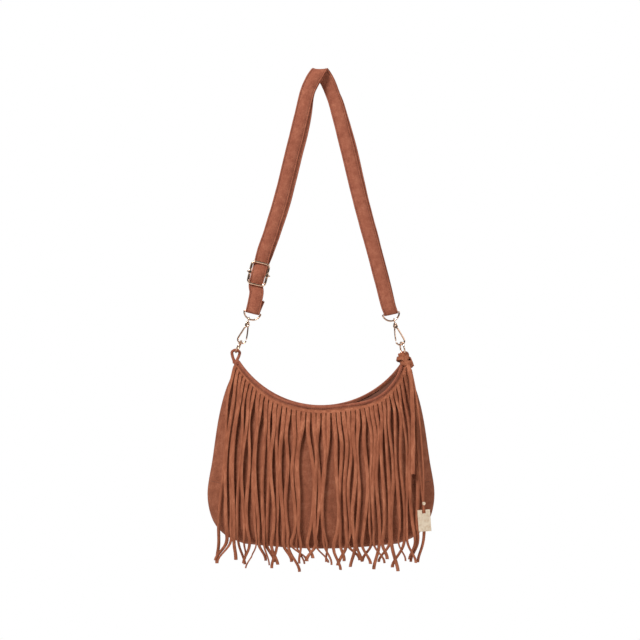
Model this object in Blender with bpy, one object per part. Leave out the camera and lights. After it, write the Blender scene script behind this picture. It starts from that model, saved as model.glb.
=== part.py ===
"""A fringed suede shoulder bag, hanging from its doubled strap.

Units in this file are millimetres, turned to metres by MM when a mesh is made.
The origin is the point under the top of the strap where the bag hangs.
+X is to the right of the bag as its fringed front is looked at, -Y is out of the front
and +Z is up.
"""

import math

import bmesh
import bpy
from mathutils import Matrix, Vector
from mathutils.bvhtree import BVHTree

MM = 0.001

# Strap: one long band, doubled.
STRAP_WIDTH = 20.0
STRAP_THICKNESS = 1.8
STRAP_CHAMFER = 0.4
LAYER_GAP = 0.4
LAYER_PITCH = STRAP_THICKNESS + LAYER_GAP
STRAP_STEPS_PER_SPAN = 3
BAR_FLAP = 19.0
BAR_FLAP_STEP = 9.0
WIRE_RESOLUTION = 1

# Slide buckle on the left leg.
BUCKLE_CENTRE = Vector((-87.5, -2.2, -282.0))
BUCKLE_TILT = math.radians(13.6)
BUCKLE_WIDTH = 24.6
BUCKLE_HEIGHT = 31.4
BUCKLE_CORNER = 5.5
BUCKLE_WIRE = 1.15
BUCKLE_BAR = 1.0
BUCKLE_BAR_LENGTH = 33.0
BUCKLE_BAR_SET_BACK = 3.6
BUCKLE_CLEARANCE = 0.3
LUG_RADIUS = 2.1
BORE_CLEARANCE = 0.3

# D-rings, snap hooks and rings, one of each on either side.
D_RING_HALF_WIDTH = 12.0
D_RING_DEPTH = 12.0
D_RING_WIRE = 1.2
EYE_RADIUS = 3.0
EYE_WIRE = 0.8
EYE_DROP = 0.4
EYE_TO_PIVOT = 7.9
HOOK_WIRE = 1.15
CHEEK_RADIUS = 3.2
CHEEK_INNER = 1.15
CHEEK_OUTER = 2.05
GATE_WIRE = 0.95
GATE_EYE = 2.0
GATE_HALF_THICKNESS = 0.8
PIN_RADIUS = 0.9
RING_RADIUS = 9.2
RING_WIRE = 1.1
RING_TO_HOOK_WIRE = 6.35

# Bag body.
RIM_RADIUS = 135.0
RIM_LOW = -466.5
TIP_ANGLE = math.radians(57.6)
RIM_CENTRE_Z = RIM_LOW + RIM_RADIUS
BINDING_HEIGHT = 4.6
BINDING_THICKNESS = 3.0
PANEL_RIM_RADIUS = RIM_RADIUS + BINDING_HEIGHT + 0.9
BASE_CORNER = (108.0, -660.0)
BASE_LOW = -665.5
SIDE_OUTLINE = (
    (133.0, -444.0),
    (143.5, -485.0),
    (152.0, -542.0),
    (159.0, -590.0),
    (152.0, -626.0),
    (134.0, -648.0),
)
BELLY_DEPTH = 43.0
MOUTH_HALF_GAP = 12.0
BELLY_TOP = 0.62
PANEL_WALL = 1.6
LINING_GAP = 1.6
INSET_HALF_WIDTH = 150.0
INSET_HEIGHT = 230.0
MOUTH_SHARE = 0.25
LINING_WALL = 0.8
SEAM_HALF_GAP = 0.2
PANEL_GRID = (18, 11)

# Fringe: one sheet, cut into strips below a header.
STRIP_COUNT = 42
STRIP_FILL = 0.82
STRIP_THICKNESS = 1.2
HEADER_TOP = PANEL_RIM_RADIUS + 0.8
HEADER_BOTTOM = HEADER_TOP + 4.2
FRINGE_CLEARANCE = 1.9
HEADER_FRONT = -3.1
STRIP_EASE = 0.8
FRINGE_HALF_SPREAD = 145.0
FRINGE_HEM_Z = -690.0
STRIP_ROWS = 10

# Tabs at the two tips.
TAB_WIDTH = 7.0
TAB_THICKNESS = 1.6

# Knotted lace and tag at the right tip.
LACE_RADIUS = 1.8
TAG_LACE_RADIUS = 1.2
TAG_WIDTH = 17.5
TAG_HEIGHT = 30.0
TAG_THICKNESS = 1.2
TAG_NOTCH = 5.0
TAG_TOP = Vector((142.0, -37.0, -611.0))
TAG_TILT = math.radians(-4.0)
RIVET_RADIUS = 2.3
RIVET_HEIGHT = 1.4

# Magnetic snap inside the mouth.
SNAP_RADIUS = 8.0
SNAP_THICKNESS = 2.0
SNAP_SHARE = 0.09

COLOURS = {
    "suede": ((0.34, 0.13, 0.075), 0.92, 0.0),
    "lining_cloth": ((0.10, 0.05, 0.035), 0.85, 0.0),
    "rose_gold": ((0.80, 0.62, 0.50), 0.22, 1.0),
    "pale_gold": ((0.86, 0.67, 0.45), 0.30, 1.0),
}


def clear_scene():
    """Removes the objects that the scene starts with."""
    for obj in list(bpy.data.objects):
        bpy.data.objects.remove(obj)


def new_material(name, finish):
    """A Principled material in one of the named finishes, for one object."""
    colour, roughness, metallic = COLOURS[finish]
    material = bpy.data.materials.new(name + "_" + finish)
    material.use_nodes = True
    shader = material.node_tree.nodes["Principled BSDF"]
    shader.inputs["Base Color"].default_value = (*colour, 1.0)
    shader.inputs["Roughness"].default_value = roughness
    shader.inputs["Metallic"].default_value = metallic
    material.diffuse_color = (*colour, 1.0)
    return material


def add_object(name, data, finish, origin, parent):
    """Links an object whose data is drawn about the given origin."""
    obj = bpy.data.objects.new(name, data)
    bpy.context.scene.collection.objects.link(obj)
    obj.location = origin * MM
    data.materials.append(new_material(name, finish))
    if parent:
        obj.parent = parent
        obj.matrix_parent_inverse = Matrix.Translation(-parent.location)
    return obj


def mesh_object(name, points, faces, finish, origin=Vector(), parent=None, smooth=True):
    """A mesh object from world points in millimetres."""
    mesh = bpy.data.meshes.new(name)
    mesh.from_pydata([(Vector(p) - origin) * MM for p in points], [], faces)
    mesh.validate()
    build = bmesh.new()
    build.from_mesh(mesh)
    bmesh.ops.recalc_face_normals(build, faces=build.faces)
    build.to_mesh(mesh)
    build.free()
    if smooth:
        mesh.shade_smooth()
        mesh.set_sharp_from_angle(angle=math.radians(50))
    return add_object(name, mesh, finish, origin, parent)


def wire_object(name, points, radius, finish, origin=Vector(), parent=None, closed=False):
    """A round wire along world points in millimetres."""
    curve = bpy.data.curves.new(name, "CURVE")
    curve.dimensions = "3D"
    curve.bevel_depth = radius * MM
    curve.bevel_resolution = WIRE_RESOLUTION
    curve.use_fill_caps = True
    spline = curve.splines.new("POLY")
    spline.points.add(len(points) - 1)
    for point, place in zip(spline.points, points):
        point.co = (*((Vector(place) - origin) * MM), 1.0)
    spline.use_cyclic_u = closed
    return add_object(name, curve, finish, origin, parent)


def add_empty(name, place):
    """An empty that marks the axis which its children turn about."""
    empty = bpy.data.objects.new(name, None)
    bpy.context.scene.collection.objects.link(empty)
    empty.location = place * MM
    empty.empty_display_size = 0.01
    return empty


def as_mesh(obj):
    """Turns a curve object to a mesh object of the same name and place."""
    graph = bpy.context.evaluated_depsgraph_get()
    mesh = bpy.data.meshes.new_from_object(obj.evaluated_get(graph))
    build = bmesh.new()
    build.from_mesh(mesh)
    bmesh.ops.remove_doubles(build, verts=build.verts, dist=1e-6)
    bmesh.ops.recalc_face_normals(build, faces=build.faces)
    build.to_mesh(mesh)
    build.free()
    name = obj.name
    solid = bpy.data.objects.new(name + "_solid", mesh)
    bpy.context.scene.collection.objects.link(solid)
    solid.location = obj.location
    bpy.data.objects.remove(obj)
    solid.name = name
    return solid


def join(base, other, operation="UNION"):
    """Unites another object with the base, or cuts it away, by a Boolean modifier."""
    other.hide_render = True
    other.display_type = "WIRE"
    boolean = base.modifiers.new(other.name, "BOOLEAN")
    boolean.operation = operation
    boolean.solver = "EXACT"
    boolean.object = other


def spline_through(points, steps):
    """Points on a Catmull-Rom curve through the given vectors, ends included."""
    padded = [2 * points[0] - points[1], *points, 2 * points[-1] - points[-2]]
    curve = []
    for index in range(1, len(padded) - 2):
        a, b, c, d = padded[index - 1 : index + 3]
        for step in range(steps):
            t = step / steps
            curve.append(
                0.5 * (2 * b + (c - a) * t + (2 * a - 5 * b + 4 * c - d) * t**2
                       + (3 * b - a - 3 * c + d) * t**3)
            )
    curve.append(points[-1].copy())
    return curve


def band_section(width, thickness, chamfer):
    """Corners of a band's cross-section, as (across, through) pairs."""
    w, h, c = width / 2, thickness / 2, chamfer
    lower = [(-w + c, -h), (w - c, -h), (w, -h + c), (w, h - c)]
    return lower + [(-across, -through) for across, through in lower]


def sweep(centres, acrosses, section):
    """Points and faces of a section swept along centres, each with its across direction."""
    count, size = len(centres), len(section)
    points, faces = [], []
    for index, centre in enumerate(centres):
        before = centres[max(index - 1, 0)]
        after = centres[min(index + 1, count - 1)]
        along = (after - before).normalized()
        across = acrosses[index] - along * acrosses[index].dot(along)
        across.normalize()
        normal = across.cross(along)
        points += [centre + across * a + normal * b for a, b in section]
    for index in range(count - 1):
        start, end = index * size, (index + 1) * size
        for side in range(size):
            following = (side + 1) % size
            faces.append((start + side, start + following, end + following, end + side))
    faces += [tuple(range(size)), tuple(reversed(range(len(points) - size, len(points))))]
    return points, faces


def circle(centre, first, second, radius, count, start=0.0, turn=math.tau):
    """Points on a circle, or on an arc of it, in the plane of two unit vectors."""
    steps = count if turn == math.tau else count - 1
    angles = [start + turn * i / steps for i in range(count)]
    return [centre + first * (radius * math.cos(a)) + second * (radius * math.sin(a)) for a in angles]


def cylinder(name, centre, axis, radius, length, finish, origin=None, parent=None, sides=20):
    """A plain turned piece about an axis through its centre."""
    axis = axis.normalized()
    first = axis.orthogonal().normalized()
    second = axis.cross(first)
    low = circle(centre - axis * (length / 2), first, second, radius, sides)
    high = circle(centre + axis * (length / 2), first, second, radius, sides)
    faces = [(i, (i + 1) % sides, sides + (i + 1) % sides, sides + i) for i in range(sides)]
    faces += [tuple(range(sides)), tuple(range(sides, 2 * sides))]
    return mesh_object(name, low + high, faces, finish, centre if origin is None else origin, parent)


# ---------------------------------------------------------------- strap and buckle

LEFT_BAR = Vector((-95.6, 0.0, -335.0))
RIGHT_BAR = Vector((97.6, 0.0, -336.5))
LEFT_LEAN = math.radians(14.0)
RIGHT_LEAN = math.radians(-12.0)
X_AXIS = Vector((1.0, 0.0, 0.0))
Y_AXIS = Vector((0.0, 1.0, 0.0))
Z_AXIS = Vector((0.0, 0.0, 1.0))


def leaning(lean):
    """Across and up directions of a leg that leans in the XZ plane."""
    up = Vector((math.sin(lean), 0.0, math.cos(lean)))
    across = Vector((math.cos(lean), 0.0, -math.sin(lean)))
    return across, up


def wrap(centre, up, radius, start, end, count):
    """Places round a bar, from angle start to end: 0 is behind it, a half turn in front, a quarter below."""
    places = []
    for index in range(count):
        angle = start + (end - start) * index / (count - 1)
        places.append(centre + Y_AXIS * (radius * math.cos(angle)) - up * (radius * math.sin(angle)))
    return places


def strap_route():
    """Centres and across directions of the one long band, from its first sewn end to its last."""
    left_across, left_up = leaning(LEFT_LEAN)
    right_across, right_up = leaning(RIGHT_LEAN)
    slide_across, slide_up = leaning(BUCKLE_TILT)
    round_bar = D_RING_WIRE + LAYER_GAP + STRAP_THICKNESS / 2
    bar = BUCKLE_CENTRE + Y_AXIS * BUCKLE_BAR_SET_BACK
    round_slide = BUCKLE_BAR + LAYER_GAP + STRAP_THICKNESS / 2
    behind_wire = BUCKLE_CENTRE.y + BUCKLE_WIRE + LAYER_GAP + STRAP_THICKNESS / 2 + BUCKLE_CLEARANCE
    slide_reach = BUCKLE_HEIGHT / 2

    def route(stops, steps=STRAP_STEPS_PER_SPAN):
        places = spline_through([Vector(stop[:3]) for stop in stops], steps)
        turns = spline_through([Vector((stop[3], 0.0, 0.0)) for stop in stops], steps)
        return [
            (place, Vector((math.cos(math.radians(turn.x)), -math.sin(math.radians(turn.x)), 0.0)))
            for place, turn in zip(places, turns)
        ]

    flap_end = LEFT_BAR + left_up * BAR_FLAP + Y_AXIS * (round_bar + 0.2)
    low = BUCKLE_CENTRE - slide_up * slide_reach
    high = BUCKLE_CENTRE + slide_up * slide_reach
    band = [(flap_end, left_across), (flap_end - left_up * BAR_FLAP_STEP, left_across)]
    band += [(place, left_across) for place in wrap(LEFT_BAR, left_up, round_bar, 0.0, math.pi, 9)]

    first_run = route([
        (-93.4, -2.9, -326.0, 0),
        (-91.6, -1.6, -313.0, 0),
        (low.x, behind_wire, low.z, 0),
        (BUCKLE_CENTRE.x, bar.y - round_slide - LAYER_PITCH, BUCKLE_CENTRE.z, 0),
        (high.x, behind_wire, high.z, 0),
        (-79.4, -0.8, -250.0, 0),
        (-70.5, -1.1, -224.0, 0),
        (-56.7, -2.2, -179.0, 0),
        (-42.5, -4.2, -122.0, 1),
        (-29.0, -6.2, -68.0, 4),
        (-18.6, -8.0, -32.0, 14),
        (-11.0, -6.6, -9.0, 38),
        (-5.0, -3.0, 0.6, 68),
        (3.0, 0.6, 3.5, 90),
        (11.0, 4.4, -2.4, 66),
        (17.8, 8.4, -17.0, 34),
        (25.6, 9.6, -44.0, 12),
        (42.0, 7.4, -112.0, 3),
        (57.0, 4.8, -179.0, 0),
        (74.6, 2.8, -246.0, 0),
        (88.4, 2.2, -300.0, 0),
        (95.0, 2.4, -328.0, 0),
    ])
    band += first_run
    band += [(place, right_across) for place in wrap(RIGHT_BAR, right_up, round_bar, 0.0, math.pi, 9)]
    second_run = route([
        (94.2, -2.3, -328.0, 0),
        (86.8, -1.2, -300.0, 0),
        (72.6, -0.2, -246.0, 0),
        (54.4, 2.2, -179.0, 0),
        (38.2, 4.8, -112.0, 2),
        (20.8, 6.6, -44.0, 10),
        (13.4, 5.6, -18.0, 32),
        (8.2, 2.6, -6.4, 62),
        (2.6, 0.4, 0.9, 90),
        (-3.2, -2.0, -3.4, 66),
        (-8.2, -3.9, -12.0, 38),
        (-15.0, -5.2, -32.0, 14),
        (-25.4, -3.8, -68.0, 4),
        (-38.9, -1.8, -122.0, 1),
        (-54.0, 0.2, -179.0, 0),
        (-68.9, 1.4, -224.0, 0),
        (-78.2, 2.6, -250.0, 0),
        (high.x + 0.4, behind_wire + 2 * LAYER_PITCH + 0.2, high.z, 0),
        (bar.x + slide_up.x * 6.0, bar.y + round_slide + 0.9, bar.z + slide_up.z * 6.0, 0),
    ])
    band += second_run
    band += [(place, slide_across) for place in wrap(bar, slide_up, round_slide, 0.0, math.pi, 9)]
    rise = high - BUCKLE_CENTRE
    flap_high = Vector((high.x, behind_wire + LAYER_PITCH + 0.1, high.z))
    flap_mid = bar + rise * 0.45 - Y_AXIS * (round_slide - 0.3)
    flap = spline_through([bar + slide_up * 1.5 - Y_AXIS * round_slide, flap_mid, flap_high,
                           flap_high + slide_up * 5.0], 2)
    band += [(place, slide_across) for place in flap]
    return band


def make_strap():
    """The doubled band, as one closed solid."""
    band = strap_route()
    section = band_section(STRAP_WIDTH, STRAP_THICKNESS, STRAP_CHAMFER)
    points, faces = sweep([place for place, _ in band], [across for _, across in band], section)
    mesh_object("strap", points, faces, "suede")


def rounded_rectangle(centre, across, up, width, height, corner):
    """Points round a rectangle with round corners."""
    points = []
    for quarter, (side, rise) in enumerate(((1, 1), (-1, 1), (-1, -1), (1, -1))):
        middle = centre + across * (side * (width / 2 - corner)) + up * (rise * (height / 2 - corner))
        points += circle(middle, across, up, corner, 6, quarter * math.pi / 2, math.pi / 2)
    return points


def make_buckle():
    """The slide buckle's wire frame, and its centre bar on two posts behind the frame's sides."""
    across, up = leaning(BUCKLE_TILT)
    outline = rounded_rectangle(BUCKLE_CENTRE, across, up, BUCKLE_WIDTH, BUCKLE_HEIGHT, BUCKLE_CORNER)
    frame = as_mesh(wire_object("buckle_frame", outline, BUCKLE_WIRE, "rose_gold", closed=True))
    for side, name in ((-1, "buckle_lug_left"), (1, "buckle_lug_right")):
        place = BUCKLE_CENTRE + across * (side * BUCKLE_WIDTH / 2) + Y_AXIS * (BUCKLE_BAR_SET_BACK / 2)
        lug = cylinder(name, place, Y_AXIS, LUG_RADIUS, BUCKLE_BAR_SET_BACK + 3.4, "rose_gold")
        bore = cylinder(name + "_bore", place + Y_AXIS * (BUCKLE_BAR_SET_BACK / 2), across,
                        BUCKLE_BAR + BORE_CLEARANCE, 8.0, "rose_gold")
        join(frame, lug)
        join(frame, bore, "DIFFERENCE")
    cylinder("buckle_bar", BUCKLE_CENTRE + Y_AXIS * BUCKLE_BAR_SET_BACK, across, BUCKLE_BAR,
             BUCKLE_BAR_LENGTH, "rose_gold", sides=14)


# ---------------------------------------------------------------- chain of hardware


class Side:
    """Places of the D-ring, hook and ring on one side. sign is -1 on the left and 1 on the right."""

    def __init__(self, name, sign, bar, bar_lean, axis_lean, eye_shift, ring_lean, ring_yaw):
        """Works out each place from the D-ring's bar and the leans of the pieces below it."""
        self.name = name
        self.sign = sign
        self.bar = bar
        self.across, self.up = leaning(bar_lean)
        self.down = Vector((math.sin(axis_lean) * sign, 0.0, -math.cos(axis_lean)))
        self.out = Vector((math.cos(axis_lean) * sign, 0.0, math.sin(axis_lean)))
        angle = eye_shift / D_RING_HALF_WIDTH
        self.eye = (bar + self.across * (D_RING_HALF_WIDTH * math.sin(angle))
                    - self.up * (D_RING_DEPTH * math.cos(angle)) + self.down * EYE_DROP)
        self.pivot = self.eye + self.down * EYE_TO_PIVOT
        self.wire_at_ring = self.hook_point(26.4, 3.4)
        self.ring_up = Vector((math.sin(ring_lean) * -sign, 0.0, math.cos(ring_lean)))
        level = Vector((self.ring_up.z, 0.0, -self.ring_up.x))
        self.ring_side = (Y_AXIS * math.cos(ring_yaw) + level * math.sin(ring_yaw)).normalized()
        self.ring = self.wire_at_ring - self.ring_up * RING_TO_HOOK_WIRE

    def hook_point(self, below, outward, y=0.0):
        """A point of the hook, from its gate pivot."""
        return self.pivot + self.down * below + self.out * outward + Y_AXIS * y


LEFT = Side("left", -1, LEFT_BAR, LEFT_LEAN, math.radians(13.5), -3.0, math.radians(25), math.radians(6))
RIGHT = Side("right", 1, RIGHT_BAR, RIGHT_LEAN, math.radians(11.5), 2.6, math.radians(11), math.radians(-15))


def make_d_ring(side):
    """The D-ring: a straight bar and a half round, in one bent wire."""
    arc = []
    for index in range(19):
        angle = math.pi * index / 18
        arc.append(side.bar + side.across * (D_RING_HALF_WIDTH * math.cos(angle))
                   - side.up * (D_RING_DEPTH * math.sin(angle)))
    wire_object(side.name + "_d_ring", arc, D_RING_WIRE, "rose_gold", side.bar, closed=True)


def make_swivel_eye(side):
    """The small eye round the D-ring, with the stem that the hook turns on."""
    turn = circle(side.eye, Y_AXIS, side.down, EYE_RADIUS, 18)
    eye = as_mesh(wire_object(side.name + "_swivel_eye", turn, EYE_WIRE, "rose_gold", side.eye, closed=True))
    stem_top = side.eye + side.down * (EYE_RADIUS - 0.4)
    stem_end = side.eye + side.down * (EYE_TO_PIVOT - 2.7)
    stem = cylinder(side.name + "_stem", (stem_top + stem_end) / 2, side.down, 0.85,
                    (stem_end - stem_top).length, "rose_gold", sides=12)
    join(eye, stem)


def make_hook(side):
    """The snap hook: collar, two cheeks and the bent wire, in one casting."""
    bend = [side.hook_point(below, outward) for below, outward in (
        (3.5, 2.1), (7.0, 3.5), (13.0, 5.6), (18.5, 7.5), (21.5, 8.3), (24.0, 8.0), (26.1, 6.2),
        (26.9, 3.4), (26.8, 0.6), (25.6, -1.7), (23.6, -3.1), (22.6, -3.5))]
    bend = spline_through(bend, 2)
    hook = as_mesh(wire_object(side.name + "_hook", bend, HOOK_WIRE, "rose_gold", side.pivot))
    for label, y in (("front", -1), ("back", 1)):
        middle = side.pivot + Y_AXIS * (y * (CHEEK_INNER + CHEEK_OUTER) / 2)
        join(hook, cylinder(side.name + "_cheek_" + label, middle, Y_AXIS, CHEEK_RADIUS,
                            CHEEK_OUTER - CHEEK_INNER, "rose_gold", sides=24))
    bridge = cylinder(side.name + "_bridge", side.hook_point(3.6, 1.9), Y_AXIS, 1.15, 2 * CHEEK_OUTER - 0.1,
                      "rose_gold", sides=12)
    join(hook, bridge)
    collar = cylinder(side.name + "_collar", side.hook_point(-3.1, 0.0), side.down, 2.35, 2.0, "rose_gold")
    join(hook, collar)
    bore = cylinder(side.name + "_collar_bore", side.hook_point(-3.1, 0.0), side.down, 1.15, 4.0, "rose_gold")
    join(hook, bore, "DIFFERENCE")
    pin_hole = cylinder(side.name + "_pin_hole", side.pivot, Y_AXIS, PIN_RADIUS + BORE_CLEARANCE, 8.0,
                        "rose_gold")
    join(hook, pin_hole, "DIFFERENCE")


def make_gate(side):
    """The sprung gate with its eye, and the pin that it turns on."""
    eye = cylinder(side.name + "_gate", side.pivot, Y_AXIS, GATE_EYE, 2 * GATE_HALF_THICKNESS, "rose_gold",
                   side.pivot)
    bar = [side.hook_point(1.0, -1.0), side.hook_point(5.0, -2.2), side.hook_point(13.0, -3.1),
           side.hook_point(20.9, -3.6)]
    stick = as_mesh(wire_object(side.name + "_gate_bar", bar, GATE_WIRE, "rose_gold", side.pivot))
    join(eye, stick)
    hole = cylinder(side.name + "_gate_hole", side.pivot, Y_AXIS, PIN_RADIUS + BORE_CLEARANCE, 8.0,
                    "rose_gold")
    join(eye, hole, "DIFFERENCE")
    cylinder(side.name + "_gate_pin", side.pivot, Y_AXIS, PIN_RADIUS, 2 * CHEEK_OUTER + 0.8, "rose_gold",
             side.pivot, sides=16)


def make_ring(side, parent):
    """The round ring that the hook holds."""
    turn = circle(side.ring, side.ring_up, side.ring_side, RING_RADIUS, 24)
    wire_object(side.name + "_ring", turn, RING_WIRE, "rose_gold", side.ring, parent, closed=True)


# ---------------------------------------------------------------- bag body


def rim_point(angle, radius):
    """A point of the mouth's arc, angle 0 at its lowest point."""
    return Vector((radius * math.sin(angle), 0.0, RIM_CENTRE_Z - radius * math.cos(angle)))


def side_curve():
    """The right-hand side seam, from the tip to the corner of the base."""
    tip = rim_point(TIP_ANGLE, PANEL_RIM_RADIUS)
    places = [tip, *[Vector((x, 0.0, z)) for x, z in (*SIDE_OUTLINE, BASE_CORNER)]]
    return spline_through(places, 8)


SIDE_CURVE = side_curve()


def along(curve, share):
    """The point at a share of the way through a list of points."""
    place = min(max(share, 0.0), 1.0) * (len(curve) - 1)
    low = min(int(place), len(curve) - 2)
    return curve[low].lerp(curve[low + 1], place - low)


def outline_point(u, v):
    """Where the panel's point (u, v) lies when seen from the front; u runs -1 to 1, v from rim to base."""
    share = (u + 1) / 2
    right = along(SIDE_CURVE, v)
    left = Vector((-right.x, 0.0, right.z))
    rim = rim_point(TIP_ANGLE * u, PANEL_RIM_RADIUS)
    base = Vector((BASE_CORNER[0] * u, 0.0, BASE_LOW + (BASE_CORNER[1] - BASE_LOW) * u * u))
    tip, corner = SIDE_CURVE[0], SIDE_CURVE[-1]
    tip_left, corner_left = Vector((-tip.x, 0, tip.z)), Vector((-corner.x, 0, corner.z))
    blend = rim * (1 - v) + base * v + left * (1 - share) + right * share
    top = tip_left * (1 - share) + tip * share
    bottom = corner_left * (1 - share) + corner * share
    return blend - (top * (1 - v) + bottom * v)


def belly(u, v):
    """The panel's depth in front of the seam, before its wall is taken off."""
    across = max(0.0, 1 - abs(u) ** 2.6) ** 0.5
    rise = math.sin(min(v / BELLY_TOP, 1.0) * math.pi / 2)
    fall = max(0.0, 1 - max(0.0, (v - BELLY_TOP) / (1 - BELLY_TOP)) ** 2.6) ** 0.5
    return across * fall * (MOUTH_HALF_GAP + (BELLY_DEPTH - MOUTH_HALF_GAP) * rise)


def body_point(u, v, inset, facing):
    """A point of the body, inset by a distance inside the panel's outer face."""
    place = outline_point(u * (1 - inset / INSET_HALF_WIDTH), v * (1 - inset / INSET_HEIGHT))
    depth = belly(u, v)
    deepest = BELLY_DEPTH if v > MOUTH_SHARE else max(belly(0, v), inset + 1)
    depth *= max(0.0, 1 - inset / deepest)
    return Vector((place.x, facing * max(depth, SEAM_HALF_GAP), place.z))


def thick_panel(name, facing, outer, inner, finish, parent):
    """A curved wall between two insets, closed along its seam and its rim."""
    columns, rows = PANEL_GRID
    points, faces = [], []
    for inset in (outer, inner):
        for row in range(rows + 1):
            for column in range(columns + 1):
                u = math.sin((2 * column / columns - 1) * math.pi / 2)
                v = math.sin(row / rows * math.pi / 2)
                points.append(body_point(u, v, inset, facing))
    size = (rows + 1) * (columns + 1)

    def at(row, column, layer):
        return layer * size + row * (columns + 1) + column

    for row in range(rows):
        for column in range(columns):
            corners = ((row, column), (row, column + 1), (row + 1, column + 1), (row + 1, column))
            faces.append(tuple(at(r, c, 0) for r, c in corners))
            faces.append(tuple(at(r, c, 1) for r, c in reversed(corners)))
    for column in range(columns):
        for row in (0, rows):
            ahead = column + 1
            faces.append((at(row, column, 0), at(row, ahead, 0), at(row, ahead, 1), at(row, column, 1)))
    for row in range(rows):
        for column in (0, columns):
            below = row + 1
            faces.append((at(row, column, 0), at(below, column, 0), at(below, column, 1), at(row, column, 1)))
    return mesh_object(name, points, faces, finish, parent.location / MM, parent)


def make_binding(name, facing, parent):
    """The folded edge above a panel's rim, following the open mouth."""
    centres, acrosses = [], []
    for index in range(37):
        angle = TIP_ANGLE * (index / 18 - 1)
        u = angle / TIP_ANGLE
        place = rim_point(angle, RIM_RADIUS + BINDING_HEIGHT / 2)
        gap = max(MOUTH_HALF_GAP * max(0.0, 1 - abs(u) ** 2.6) ** 0.5 - 0.3, BINDING_THICKNESS / 2 + 0.25)
        centres.append(Vector((place.x, facing * gap, place.z)))
        acrosses.append(Vector((math.sin(angle), 0.0, -math.cos(angle))))
    section = band_section(BINDING_HEIGHT, BINDING_THICKNESS, 0.9)
    points, faces = sweep(centres, acrosses, section)
    mesh_object(name, points, faces, "suede", parent.location / MM, parent)


def strip_line(angle, share):
    """Where a strip's point lies seen from the front: out from the rim, then straight down."""
    start = rim_point(angle, HEADER_BOTTOM)
    end = Vector((FRINGE_HALF_SPREAD * angle / TIP_ANGLE, 0.0, FRINGE_HEM_Z))
    away = Vector((math.sin(angle), 0.0, -math.cos(angle))) * 110.0
    fall = Vector((0.0, 0.0, -150.0))
    t = share
    return (start * (2 * t**3 - 3 * t**2 + 1) + away * (t**3 - 2 * t**2 + t)
            + end * (3 * t**2 - 2 * t**3) + fall * (t**3 - t**2))


def drape_on(*below):
    """A function that gives how far forward a point must lie to clear the objects behind it by a gap."""
    bpy.context.view_layer.update()
    graph = bpy.context.evaluated_depsgraph_get()
    trees = [(BVHTree.FromObject(obj, graph), obj.matrix_world.translation / MM) for obj in below]

    def rest_on(place, gap, least):
        surface = least
        for tree, offset in trees:
            start = Vector((place.x, -300.0, place.z)) - offset
            hit = tree.ray_cast(start * MM, Y_AXIS)[0]
            if hit:
                surface = min(surface, hit.y / MM + offset.y - gap)
        return surface

    return rest_on


def make_fringe(rest_on, parent):
    """The fringe: a header below the binding, and strips that lie over the belly and hang clear below it."""
    offset = parent.location / MM
    pitch = 2 * TIP_ANGLE / STRIP_COUNT
    points, faces, columns = [], [], []
    for index in range(STRIP_COUNT):
        middle = -TIP_ANGLE + pitch * (index + 0.5)
        edges = [middle + side * STRIP_FILL * pitch / 2 for side in (-1, 1)]
        pair = [[rim_point(angle, HEADER_TOP)] for angle in edges]
        near = min(rest_on(places[0], FRINGE_CLEARANCE, HEADER_FRONT) for places in pair)
        for places in pair:
            places[0].y = near
        for row in range(STRIP_ROWS + 1):
            shares = [max(0.0, (row + step) / STRIP_ROWS) for step in (-0.9, -0.6, -0.3, 0.0, 0.3, 0.6, 0.9)]
            reach = [strip_line(angle, share) for angle in (*edges, middle) for share in shares]
            low = min(rest_on(place, FRINGE_CLEARANCE, HEADER_FRONT) for place in reach)
            near = low = min(low, near + STRIP_EASE)
            for angle, places in zip(edges, pair):
                place = strip_line(angle, row / STRIP_ROWS)
                place.y = low
                places.append(place)
        columns += pair
    size = STRIP_ROWS + 2
    for column in columns:
        points += column
    for index in range(len(columns) - 1):
        left, right = index * size, (index + 1) * size
        rows = 1 if index % 2 else STRIP_ROWS + 1
        for row in range(rows):
            faces.append((left + row, left + row + 1, right + row + 1, right + row))
    fringe = mesh_object("fringe", points, faces, "suede", offset, parent, smooth=False)
    wall = fringe.modifiers.new("thickness", "SOLIDIFY")
    wall.thickness = STRIP_THICKNESS * MM
    wall.offset = 0.0
    return fringe


def make_tab(side, parent):
    """The looped suede tab that holds a ring at the bag's tip."""
    low = side.ring - side.ring_up * RING_RADIUS
    tip = rim_point(TIP_ANGLE * side.sign, RIM_RADIUS - 1.9)
    foot = Vector((tip.x, 0.0, tip.z))
    up = (low - foot).normalized()
    out = Vector((up.z, 0.0, -up.x))
    height = (low - foot).length
    clear = RING_WIRE + 0.4 + TAB_THICKNESS / 2
    outline = [
        foot + out * 1.5 + up * 1.0,
        foot + out * 3.2 + up * (height * 0.35),
        foot + out * 4.4 + up * (height * 0.7),
        low + out * clear * 1.45 + up * 1.4,
        low + up * (clear + 1.3),
        low - out * clear * 1.45 + up * 1.4,
        foot - out * 4.4 + up * (height * 0.7),
        foot - out * 3.2 + up * (height * 0.35),
        foot - out * 1.5 + up * 1.0,
    ]
    places = spline_through(outline, 4)
    section = band_section(TAB_WIDTH, TAB_THICKNESS, STRAP_CHAMFER)
    points, faces = sweep(places, [Y_AXIS] * len(places), section)
    mesh_object(side.name + "_tab", points, faces, "suede", parent.location / MM, parent)


def hang(rest_on, places, radius):
    """The places of a lace's tail, each brought forward to clear the panel and the fringe."""
    tail = []
    for place in places:
        under = [place + Vector((x, 0.0, z)) for x in (-4, -2, 0, 2, 4) for z in (-12, -6, 0, 6, 12)]
        low = min(rest_on(spot, radius + 0.7, place.y) for spot in under)
        tail.append(Vector((place.x, low, place.z)))
    return tail


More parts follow.
